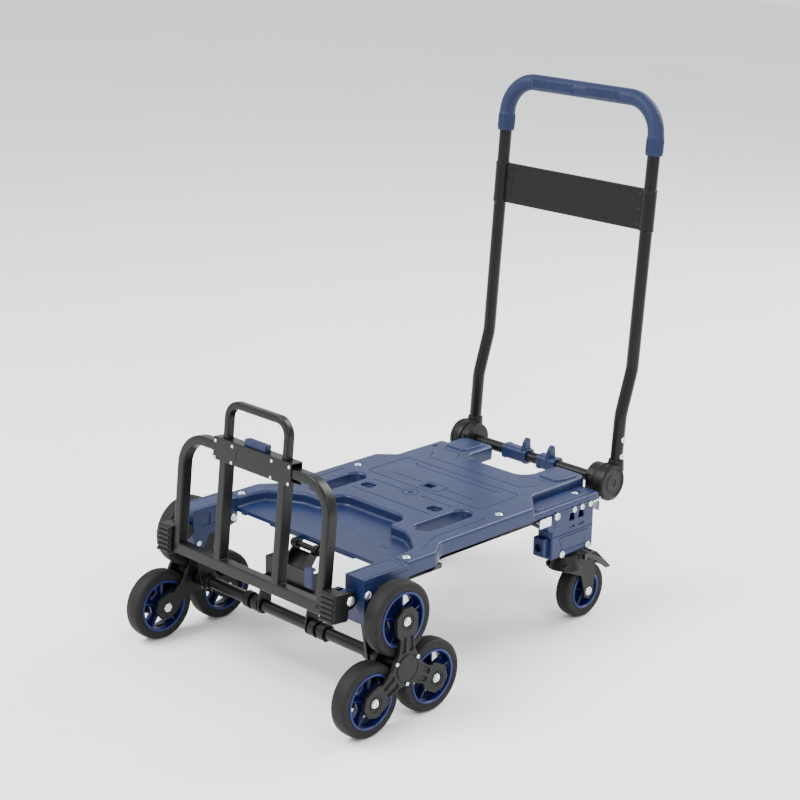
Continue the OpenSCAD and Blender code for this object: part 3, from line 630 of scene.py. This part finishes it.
def wheel_set(kind, bodies, seat_node, hub):
    """Tyre and rim meshes made once, then put on every wheel of this kind"""
    low, high = mm_box(kind + "_tyre_" + bodies[0][1])
    seat_low, seat_high = mm_box(seat_node)
    r, width, seat = (high.z - low.z) / 2, high.x - low.x, (seat_high.z - seat_low.z) / 2
    body, lip = rim(seat - 0.2, width - 1, AXLE_BORE, hub)
    made = {}
    for label, bm in (("tyre", tyre(r, seat, width)), ("rim", body), ("lip", lip)):
        bmesh.ops.scale(bm, vec=(MM,) * 3, verts=bm.verts)
        made[label] = bpy.data.meshes.new(kind + "_" + label)
        bm.to_mesh(made[label])
        bm.free()
    # the lip shares the rim's plastic slot but gets its lighter copy, a painted highlight on the rim's edge
    looks = {"tyre": (TYRE, "tyre_rubber"), "rim": (RIM, "rim_plastic"), "lip": (RIM_LIP_PAINTED_HIGHLIGHT, "rim_plastic")}
    for body_name, tag in bodies:
        centre = middle(kind + "_tyre_" + tag) * MM
        place = Matrix.Translation(centre)
        if centre.x < 0:
            place = place @ Matrix.Rotation(math.pi, 4, "Z")
        for label, (material, slot) in looks.items():
            nodes = [] if label == "lip" else [f"{kind}_{label}_{tag}"]
            name = f"{kind}_{label}_shape_{tag}"
            piece_of(name, made[label], body_name, material, nodes, place, 40)


star_wheels = [(f"star_wheel_{s}{i}", f"{s}{i}") for s in "lr" for i in (1, 2, 3)]
wheel_set("star", star_wheels, "star_rim_r1", 12)
wheel_set("caster", [("caster_l", "l"), ("caster_r", "r")], "caster_rim_r", 11)


# ---- tri-star spiders ----
ARM_ANGLES = (90, 210, 330)
star_at = middle("axle_tube")
STAR_R = middle("star_tyre_r1").z - star_at.z
OUTER_X = (265, 272)  # outer plate of the right star
INNER_X = (224, 230)
BOLT_SEAT_X = 269.8


def spider_outline(waist, tip):
    """Three tapering arms with octagonal ends, about the star axle"""
    points = []
    for angle in ARM_ANGLES:
        turn = Matrix.Rotation(math.radians(angle), 2)
        flat = tip * math.tan(math.radians(22.5))
        arm = [(27, -waist - 1, 12), (STAR_R - tip - 4, -waist + 3, 8), (STAR_R - tip + 3, -tip + 1.5, 3),
               (STAR_R - flat, -tip, 2), (STAR_R + flat, -tip, 2), (STAR_R + tip, -flat, 2)]
        arm += [(x, -y, r) for x, y, r in reversed(arm)]
        points += [tuple(turn @ Vector((x, y))) + (r,) for x, y, r in arm]
    return rounded(points, 4)


def ring_cut(r0, r1):
    """The section of a round groove 1 mm deep in the outer plate"""
    low, high = OUTER_X[1] - 1, OUTER_X[1] + 3
    return [(r0, low), (r0, high), (r1, high), (r1, low), (r0, low)]


def spider():
    """The right star's two plates, their sleeve and cap, about the star axle"""
    outer = prism(spider_outline(17, 22.5), soft_edges(*OUTER_X, 0.8, 1.6, 3), ALONG_X)
    cutters, extras = [], []
    for angle in ARM_ANGLES:
        spin = Matrix.Rotation(math.radians(angle), 4, "X")
        for side in (-1, 1):
            pocket = rounded([(27, side * 4, 2), (STAR_R - 23, side * 3, 2), (STAR_R - 24, side * 10.5, 3),
                              (27, side * 13, 3)], 3)
            pocket = prism(pocket, flared(OUTER_X[1] - 2.4, OUTER_X[1], 0.8, 0.8), ALONG_X)
            cutters.append(moved(pocket, spin))
        at = spin @ Vector((0, STAR_R, 0))
        seat = [(0, BOLT_SEAT_X), (7.8, BOLT_SEAT_X), (8.6, BOLT_SEAT_X + 0.6), (9.4, 280), (0, 280)]
        cutters.append(lathe(seat, 48, "X", at))
        cutters.append(lathe(ring_cut(11.4, 12.8), 48, "X", at))
        cutters.append(rod(5.05, 260, 281, (at.y, at.z), 0.01))
        extras.append(rod(6.6, 230, 234, (at.y, at.z), 0.5, bore=5.05))
    cutters.append(lathe(ring_cut(22, 23.5), 64))
    outer = cut(outer, *cutters)
    inner = prism(spider_outline(15, 20.5), soft_edges(*INNER_X, 0.8, 0.8, 3), ALONG_X)
    hub = lathe([(10.1, 224), (13, 224), (13, 264), (15, 266), (10.1, 266), (10.1, 224)], 48)
    cap = rod(21, 270, 273, edge=1.2)
    return joined(outer, inner, hub, cap, *extras)


right_star = spider()
bmesh.ops.translate(right_star, vec=(0, star_at.y, star_at.z), verts=right_star.verts)
pair("spider", right_star, "star_{}", BLACK_PLASTIC, "star_plates", angle=32)


# ---- fasteners ----
def outward(low, high):
    """The outer end of a crosswise bolt, and the way it faces"""
    mid = (low + high) / 2
    way = 1 if mid.x > 0 else -1
    return [(Vector((high.x if way > 0 else low.x, mid.y, mid.z)), Vector((way, 0, 0)))]


def upward(low, high):
    """The top of an upright screw"""
    mid = (low + high) / 2
    return [(Vector((mid.x, mid.y, high.z)), Vector((0, 0, 1)))]


def both_ends(low, high):
    """The two ends of a crosswise pin"""
    mid = (low + high) / 2
    return [(Vector((x, mid.y, mid.z)), Vector((way, 0, 0))) for x, way in ((low.x, -1), (high.x, 1))]


def free_ends(low, high):
    """Both ends of a pin, or the outer face of a short head on an inner or an outer wall"""
    ends = both_ends(low, high)
    if high.x - low.x > 8:
        return ends
    inner = abs(low.x + high.x) < 400
    return [ends[0] if (low.x > 0) == inner else ends[1]]


def recess(kind, size, depth):
    """A cutter for the drive of a head facing +Z, its top at the origin"""
    if kind == "hex":
        return prism(disc(0, 0, size, 6), [(0.4, -depth), (0, 1)])
    arms = [block((-size, -size * 0.2, -depth), (size, size * 0.2, 1), 0),
            block((-size * 0.2, -size, -depth), (size * 0.2, size, 1), 0)]
    return boolean(*arms, "UNION")


def fasteners(name, node, body, ends=outward, kind="cross"):
    """A CAD node's bolts with a drive recess in every head and a rim under it"""
    cutters, washers = [], []
    drive = 0.42 if kind == "hex" else 0.5  # size of the drive, as a part of the head's radius
    for low, high in islands(node):
        for spot, way in ends(low, high):
            side = max(range(3), key=lambda i: abs(way[i]))
            r = min((high - low)[i] for i in range(3) if i != side) / 2
            turn = Vector((0, 0, 1)).rotation_difference(way).to_matrix().to_4x4()
            turn = Matrix.Translation(spot) @ turn
            cutters.append(moved(recess(kind, r * drive, min(1.3, r * 0.3)), turn))
            lip = [(r * 0.86, -r * 0.34), (r * 0.94, -r * 0.30), (r * 0.94, -r * 0.5), (r * 0.86, -r * 0.5),
                   (r * 0.86, -r * 0.34)]
            washers.append(moved(lathe(lip, 32, "Z"), turn))
    solid = cut(cad_copy(node), *cutters)
    return piece(name, joined(solid, *washers), body, ZINC, node, 30)


fasteners("deck_screw_heads", "deck_screws", "deck", upward)
fasteners("handle_bolt_heads", "handle_bolts", "handle")
carriage_bolts = fasteners("carriage_bolts", "block_bolts", "carriage", free_ends, "hex")
carriage_bolts.data.materials.append(BLACK_STEEL)
for face in carriage_bolts.data.polygons:  # the hinge pin in the middle is black
    face.material_index = 1 if abs(face.center.x) < 0.045 else 0
for s in "lr":
    fasteners("leg_bolt_heads_" + s, "leg_bolts_" + s, "leg_" + s)
    fasteners("caster_bolt_" + s, "caster_axle_" + s, "fork_" + s, both_ends, "hex")


def star_bolts():
    """Wheel axles of the right star with small socket heads, washers and nuts, and its cap screws"""
    parts = []
    for low, high in islands("star_bolts_r"):
        at = ((low.y + high.y) / 2, (low.z + high.z) / 2)
        place = Matrix.Translation((0, *at)) @ ALONG_X
        if high.z - low.z < 10:
            head, top, drive = rod(3.2, 271.5, 273.8, at, 1.2, 24), 273.8, recess("cross", 1.7, 0.7)
        else:
            head, top, drive = rod(5.4, 270.2, 273.4, at, 1.5, 32), 273.4, recess("hex", 2.6, 1.8)
            nut = prism(disc(0, 0, 8, 6), soft_edges(INNER_X[0] - 1.6, INNER_X[0] + 0.2, 0.4, 0))
            parts += [rod(4.95, 224.4, 270.5, at), moved(nut, place)]
            parts.append(rod(7.2, BOLT_SEAT_X, 270.7, at, 0.3, 32))
        parts.append(cut(head, moved(drive, place @ Matrix.Translation((0, 0, top)))))
    return joined(*parts)


pair("star_bolt_heads", star_bolts(), "star_{}", ZINC, "star_bolts", angle=30)


# ---- toe frame, in its own leaning frame ----
TOE_LEAN = math.radians(5.47)
toe_low, toe_high = mm_box("toe_frame")
TOE_TOP, TOE_HALF = 209, toe_high.x
GUIDE_X = 69  # middle of each guide tube, and of each leg of the bow
TOE_PIN = (27.8, 29.6)
toe_corner = (0, toe_low.y - math.sin(TOE_LEAN), toe_high.z - (TOE_TOP + 4) * math.cos(TOE_LEAN))
AT_TOE = Matrix.Translation(toe_corner) @ Matrix.Rotation(-TOE_LEAN, 4, "X")
ACROSS = Vector((0, 1, 0))


def bar(x, y, r):
    """The section of a rectangular tube, from its half sizes"""
    return rounded([(-x, -y, r), (x, -y, r), (x, y, r), (-x, y, r)], 3)


def hoop(x, y, foot, top, r, section):
    """An upside-down U of bar, its legs at plus and minus x"""
    path = bent_path([(x, y, foot, 0), (x, y, top, r), (-x, y, top, r), (-x, y, foot, 0)], 14)
    return sweep(path, section, ACROSS)


def toe_frame():
    """The welded frame: hoop, bottom bar and two hollow guides with weld beads"""
    parts = [hoop(TOE_HALF - 8, 10, 10, TOE_TOP - 8, 50, bar(8, 10, 3)),
             block((3 - TOE_HALF, 0, 1), (TOE_HALF - 3, 20, 20), 2.5)]
    for x in (-GUIDE_X, GUIDE_X):
        guide = block((x - 8, 0, 18), (x + 8, 20, TOE_TOP + 4), 2)
        parts.append(cut(guide, block((x - 6.4, 1.6, 22), (x + 6.4, 18.4, 240), 1)))
        parts += [block((x - 9, 1, z - 1.2), (x + 9, 19, z + 1.2), 1) for z in (20, TOE_TOP - 16)]
    return moved(joined(*parts), AT_TOE)


def toe_cover():
    """The folded sheet cover, open where the bow and the button pass"""
    shell = block((-91, -2, 181), (91, 22, 218), 1.4)
    cutters = [block((-92, -0.1, 180), (92, 20.1, 216), 0), block((-25.7, 2.8, 200), (25.7, 17.2, 230), 0)]
    cutters += [block((x - 6.8, 2.2, 200), (x + 6.8, 17.8, 230), 0) for x in (-GUIDE_X, GUIDE_X)]
    panel = rounded([(-36, 187, 3), (36, 187, 3), (36, 208, 3), (-36, 208, 3)])
    cutters.append(prism(panel, [(-0.6, -4), (-0.6, -2), (0, -1.4)], ALONG_Y))
    return moved(cut(shell, *cutters), AT_TOE)


def toe_foot(s):
    """A moulded foot with ribs across its front and a fork for the hinge tongue"""
    parts = [block((178, -5.5, -3), (210, 27, 44), 3), rod(14.4, 178, 210, TOE_PIN, 1.5)]
    parts += [block((179.5, -8, z), (208.5, -3, z + 4.6), 1.1) for z in (-1.6, 6.4, 14.4, 22.4, 30.4, 37.6)]
    parts.append(rod(11.5, 209, 210.8, TOE_PIN, 0.8))
    slot = block((187.4, 15.2, 17), (202.6, 60, 60), 0)
    pin = rod(5.05, 170, 220, TOE_PIN, 0.01)
    foot = cut(joined(*parts), slot, pin)
    return foot if s > 0 else moved(foot, MIRROR_X)


piece("toe_tubes", toe_frame(), "toe", BLACK_STEEL, "toe_frame", 35)
piece("toe_cover_shell", toe_cover(), "toe", BLACK_STEEL, "toe_cover", 35)
toe_feet = moved(joined(toe_foot(1), toe_foot(-1)), AT_TOE)
piece("toe_feet_ribbed", toe_feet, "toe", BLACK_PLASTIC, "toe_feet", 35)
bow = moved(hoop(GUIDE_X, 10, 62, 275.6, 24, bar(6, 7, 2.6)), AT_TOE)
piece("toe_slide_hoop", bow, "slider", BLACK_STEEL, "toe_slider", 35)
button = cut(block((-25, 3.5, 215.5), (25, 16.5, 229), 2.2),
             *[block((x - 1, 2, 228), (x + 1, 18, 231), 0.4) for x in range(-18, 19, 6)])
piece("toe_button_cap", moved(button, AT_TOE), "button", NAVY, "toe_button", 35)
piece("toe_pins", softened(cad_copy("toe_rivets"), 0.3, 50, 1), "toe", ZINC, "toe_rivets")


# ---- handle ----
bar_high = mm_box("handle_tube")[1]
hub = middle("release_bar")
TUBE_R = 11
LEG_X = bar_high.x - TUBE_R
LEAN = math.radians(4.4)
socket, lower, upper = (hub + Vector((0, y, z)) for y, z in ((20.5, 4), (29, 114.5), (54, 193.3)))
RISE = (bar_high.z - TUBE_R - upper.z) / math.cos(LEAN)
AT_HANDLE = Matrix.Translation((0, upper.y, upper.z)) @ Matrix.Rotation(-LEAN, 4, "X")


def handle_tube():
    """One bent tube from socket to socket"""
    right = [(LEG_X, p.y, p.z, r) for p, r in ((socket, 0), (lower, 60), (upper, 60))]
    crest = AT_HANDLE @ Vector((0, 0, RISE))
    path = right + [(LEG_X, crest.y, crest.z, 60), (-LEG_X, crest.y, crest.z, 60)]
    path += [(-x, y, z, r) for x, y, z, r in reversed(right)]
    return sweep(bent_path(path, 14), disc(0, 0, TUBE_R, 36), ACROSS)


def handle_grip():
    """Foam grip: plain cuffs, fine ribs round the corners, two finger pads on the bar"""
    corners = [(LEG_X, 0, 369, 0), (LEG_X, 0, RISE, 60), (-LEG_X, 0, RISE, 60), (-LEG_X, 0, 369, 0)]
    path = spaced(bent_path(corners, 60), 0.9)
    length = sum((b - a).length for a, b in zip(path, path[1:]))

    def swell(run):
        end = min(run, length - run)
        if end < 32:
            return 1.06 - 0.05 * math.exp(-end / 0.8) - 0.05 * math.exp(-(32 - end) / 0.8)
        return 1 + 0.018 * math.sin(run * 2 * math.pi / 3.6)

    parts = [sweep(path, disc(0, 0, 14, 36), ACROSS, swell)]
    for s in (-1, 1):
        for i in range(16):
            flute = block((14.3, -0.9, 374), (15.4, 0.9, 396), 0.5, 2)
            turn = Matrix.Translation((s * LEG_X, 0, 0)) @ Matrix.Rotation(math.tau * i / 16, 4, "Z")
            parts.append(moved(flute, turn))
    for x0, x1 in ((-104, -12), (18, 90)):
        parts.append(block((x0, -15.2, RISE - 9), (x1, -4, RISE + 9), 3.2, 4))
        for x in range(x0 + 5, x1 - 5, 5):
            parts.append(block((x, -16, RISE - 7), (x + 2.2, -12, RISE + 7), 1, 2))
    return moved(joined(*parts), AT_HANDLE)


def handle_panel():
    """The cross panel, recessed on both faces, with its collars and short beads"""
    low, high = 240, 312
    panel = block((-LEG_X, -2.5, low), (LEG_X, 2.5, high), 1.6)
    sunk = rounded([(-140, 252, 4), (140, 252, 4), (140, 302, 4), (-140, 302, 4)])
    panel = cut(panel, prism(sunk, [(-1, -5), (-1, -2.5), (0, -1.5)], ALONG_Y),
                prism(sunk, [(0, 1.5), (-1, 2.5), (-1, 5)], ALONG_Y))
    bore = TUBE_R + 0.05
    wall = [(bore, low), (12.2, low), (13, low + 1), (13, low + 4), (12.5, low + 5), (12.5, high - 5),
            (13, high - 4), (13, high - 1), (12.2, high), (bore, high), (bore, low)]
    parts = [panel]
    for s in (-1, 1):
        parts.append(lathe(wall, 40, "Z", (s * LEG_X, 0, 0)))
        for z in (250, 276, 302):
            parts.append(block((s * 150 - 7, -3.4, z - 1.2), (s * 150 + 7, 3.4, z + 1.2), 1))
    return moved(joined(*parts), AT_HANDLE)


def handle_hub(s):
    """A turning hub half with its stepped face and the sleeve that takes the leg"""
    face = [(8.1, 156), (29.5, 156), (31.5, 157), (32.5, 159.5), (32.5, 164), (31.6, 165), (31.6, 172),
            (32.5, 173), (32.5, 177), (31, 180), (28.5, 181), (26.5, 181), (25.5, 179.6), (17, 179.6),
            (15.5, 181), (8, 181), (6.5, 179.6), (0, 179.6), (0, 176.6), (8.1, 176.6), (8.1, 156)]
    hub_disc = lathe(face, 72, "X", (0, hub.y, hub.z))
    sleeve = [(TUBE_R, 13), (15.2, 13), (14.4, 22), (13.6, 30.5), (12.8, 32), (TUBE_R, 32), (TUBE_R, 13)]
    leg = Matrix.Translation((LEG_X, socket.y, socket.z)) @ Matrix.Rotation(-LEAN, 4, "X")
    out = joined(hub_disc, moved(lathe(sleeve, 40, "Z"), leg))
    return out if s > 0 else moved(out, MIRROR_X)


piece("handle_bar", handle_tube(), "handle", BLACK_STEEL, "handle_tube", 35)
piece("handle_foam", handle_grip(), "handle", GRIP, "handle_grip", 40)
piece("handle_plate", handle_panel(), "handle", BLACK_STEEL, "handle_panel", 35)
hubs = joined(handle_hub(1), handle_hub(-1))
piece("handle_hub_discs", hubs, "handle", BLACK_PLASTIC, "handle_hubs", 35)


# ---- release paddles on the bar between the hubs ----
def paddle(x0, x1, fin):
    """A clamp round the bar, with a seam, end beads and a finger fin"""
    corners = [(-13.5, -13.5, 7), (13.5, -13.5, 7), (13.5, 9, 8), (8, 13.5, 6), (-8, 13.5, 6),
               (-13.5, 9, 8)]
    shape = rounded(corners, 4)
    waist = rounded([(x * 0.93, y * 0.93, r) for x, y, r in corners], 4)
    parts = [prism(waist, [(0, x0 + 2), (0, x1 - 2)], ALONG_X),
             prism(shape, soft_edges(x0, x0 + 8, 1.2, 1.2), ALONG_X),
             prism(shape, soft_edges(x1 - 8, x1, 1.2, 1.2), ALONG_X)]
    blade = rounded([(-12.5, 6, 2), (-7, 27, 9), (1, 34, 5), (6, 32, 4), (8.5, 6, 2)], 5)
    parts.append(prism(blade, soft_edges(fin, fin + 9, 1.6, 1.6), ALONG_X))
    solid = cut(joined(*parts), rod(10.05, x0 - 2, x1 + 2, edge=0.01),
                block((x0 - 2, -0.4, -20), (x1 + 2, 0.4, -8), 0))
    bmesh.ops.translate(solid, vec=(0, hub.y, hub.z), verts=solid.verts)
    return solid


paddles = joined(paddle(-68, -12, -24), paddle(14, 56, 34))
piece("release_paddle_clamps", paddles, "release", NAVY, "release_paddles", 35)


# ---- rear legs ----
leg_low, leg_high = mm_box("rear_leg_r")
LEG_IN, LEG_OUT, LEG_FOOT, LEG_TOP = leg_low.x, leg_high.x, leg_low.z, leg_high.z
LEG_FRONT, LEG_REAR = leg_high.y - 108, leg_high.y
KNUCKLE = (139, 193)
FOOT_HOLE = (170, 152, 7.5)


def on_side(points, r, x):
    """A groove cutter on a side face, through (y, z) points"""
    return moved(groove(points, r, x), ALONG_X)


def rear_leg():
    """The right leg: hollow shell, foot with its round window, and the hinge barrel"""
    shell = block((LEG_IN, LEG_FRONT, LEG_FOOT), (LEG_OUT, LEG_REAR, LEG_TOP), 3, 4)
    inner = joined(block((LEG_IN + 4, LEG_FRONT + 4, LEG_FOOT - 3), (LEG_OUT - 4, LEG_REAR - 4, 176), 1.5),
                   block((LEG_IN + 4, LEG_FRONT + 24, 168), (LEG_OUT - 4, LEG_REAR - 4, LEG_TOP - 4), 1.5))
    cutters = [inner, on_side([(LEG_FRONT + 2, 171), (LEG_REAR - 2, 171)], 1, LEG_OUT)]
    groove_line = [(158, 166), (232, 166), (222, 141), (168, 141), (158, 166)]
    cutters.append(on_side(groove_line, 0.9, LEG_OUT))
    for y in (183, 207):
        window = rounded([(y, 191, 2), (y + 15, 191, 2), (y + 12.5, 204, 2), (y + 2.5, 204, 2)], 3)
        cutters.append(prism(window, flared(LEG_OUT - 8, LEG_OUT, 1.2), ALONG_X))
    for y in (183, 207):
        dent = rectangle(y, 178, y + 15, 182, 1.8)
        cutters.append(prism(dent, flared(LEG_OUT - 2, LEG_OUT, 0.8, 0.5), ALONG_X))
    for y in (167, 234):
        seat = disc(y, 135.5, 7, 28)
        cutters.append(prism(seat, flared(LEG_OUT - 0.8, LEG_OUT, 0.6), ALONG_X))
    shell = cut(shell, *cutters)
    foot = block((LEG_IN, LEG_FRONT - 12, LEG_FOOT + 6), (LEG_OUT - 8, LEG_FRONT + 1, 170), 2.2)
    x, z, r = FOOT_HOLE
    hole = moved(prism(disc(x, z, r, 32), [(0, 120), (0, 136)]), ALONG_Y)
    ring = moved(prism(disc(x, z, 9.6, 32), [(0, LEG_FRONT - 12.6), (0, LEG_FRONT - 11)]), ALONG_Y)
    ring = cut(ring, hole.copy())
    foot = cut(foot, hole)
    barrel = rod(11, LEG_IN, LEG_OUT, KNUCKLE, 1.2)
    rib = block((LEG_IN + 3, LEG_FRONT - 3, 170), (LEG_OUT - 3, LEG_FRONT + 2, 184), 1)
    return joined(shell, foot, ring, barrel, rib)


pair("rear_leg_shell", rear_leg(), "leg_{}", NAVY, "rear_leg")


# ---- corner blocks ----
block_low, block_high = mm_box("corner_block_r")


def corner_block():
    """The right corner block of the CAD with softened edges and its moulded lines"""
    solid = softened(cad_copy("corner_block_r"), 1.8, 50, 3)
    x0, x1, y0, y1, top = block_low.x, block_high.x, block_low.y, block_high.y, block_high.z
    lid = rectangle(x0 + 5, y0 + 22, x1 - 5, y1 - 6, 4)
    cutters = [groove(lid + lid[:1], 0.9, top)]
    cutters.append(on_side([(y0 + 24, top - 8), (y1 - 4, top - 8)], 0.9, x1))
    cutters.append(on_side([(y0 + 16, 176), (y0 + 16, top - 14), (y0 + 40, top - 14)], 0.8, x1))
    return cut(solid, *cutters)


pair("corner_shell", corner_block(), "carriage", NAVY, "corner_block")


# ---- pressed and moulded parts that keep the CAD outline, with softened edges ----
SOFT = {
    "underframe": ("deck", BLACK_STEEL, "black_steel", 0.5),
    "hub_bases": ("deck", BLACK_PLASTIC, "black_plastic", 1.0),
    "latch_plates": ("deck", ZINC, "zinc_steel", 0.4),
    "release_bar": ("release", BLACK_STEEL, "black_steel", 0.8),
    "axle_arms": ("carriage", BLACK_STEEL, "black_steel", 0.7),
    "axle_bracket": ("carriage", BLACK_STEEL, "black_steel", 0.5),
    "axle_tube": ("carriage", BLACK_STEEL, "black_steel", 0.4),
    "axle_collars": ("carriage", BLACK_PLASTIC, "black_plastic", 0.9),
    "release_clip": ("clip", NAVY, "leg_plastic", 0.8),
    "caster_plate_l": ("leg_l", BLACK_STEEL, "black_steel", 0.6),
    "caster_plate_r": ("leg_r", BLACK_STEEL, "black_steel", 0.6),
    "caster_fork_l": ("fork_l", BLACK_PLASTIC, "black_plastic", 1.4),
    "caster_fork_r": ("fork_r", BLACK_PLASTIC, "black_plastic", 1.4),
    "brake_pedal_l": ("brake_l", BLACK_PLASTIC, "black_plastic", 0.9),
    "brake_pedal_r": ("brake_r", BLACK_PLASTIC, "black_plastic", 0.9),
}
for node, (body, material, slot, width) in SOFT.items():
    piece(node + "_shape", softened(cad_copy(node), width, 40), body, material, node, 35)


# ---- camera, floor and light ----
AZIMUTH, ELEVATION, ROLL = (math.radians(a) for a in (44.674, 17.447, 0.9464))
scene = bpy.context.scene
lens = bpy.data.cameras.new("camera")
lens.lens, lens.sensor_width = 88.488, 36
camera = bpy.data.objects.new("camera", lens)
scene.collection.objects.link(camera)
turn = Matrix.Rotation(AZIMUTH, 4, "Z") @ Matrix.Rotation(math.pi / 2 - ELEVATION, 4, "X")
turn = turn @ Matrix.Rotation(ROLL, 4, "Z")
camera.matrix_world = Matrix.Translation((2.17189, -2.23315, 1.37912)) @ turn
scene.camera = camera

ground = bmesh.new()
bmesh.ops.create_grid(ground, x_segments=8, y_segments=8, size=9)
mesh = bpy.data.meshes.new("floor")
ground.to_mesh(mesh)
mesh.materials.append(FLOOR)
floor = bpy.data.objects.new("floor", mesh)
scene.collection.objects.link(floor)
floor.location.z = -0.0005


def area_light(name, place, target, size, power):
    data = bpy.data.lights.new(name, "AREA")
    data.shape, data.size, data.energy = "DISK", size, power
    lamp = bpy.data.objects.new(name, data)
    scene.collection.objects.link(lamp)
    aim = (Vector(target) - Vector(place)).to_track_quat("-Z", "Y").to_matrix().to_4x4()
    lamp.matrix_world = Matrix.Translation(place) @ aim


area_light("key", (-1.2, -2.2, 3.2), (0, 0, 0.2), 2.4, 230)
area_light("side", (2.8, -0.6, 2.2), (0, 0, 0.3), 2.0, 70)
area_light("back", (0.5, 3.0, 2.6), (0, 0, 0.3), 2.4, 170)
world = bpy.data.worlds.new("studio")
scene.world = world
world.use_nodes = True
world.node_tree.nodes["Background"].inputs["Color"].default_value = (0.96, 0.98, 1.0, 1)
world.node_tree.nodes["Background"].inputs["Strength"].default_value = 1.3
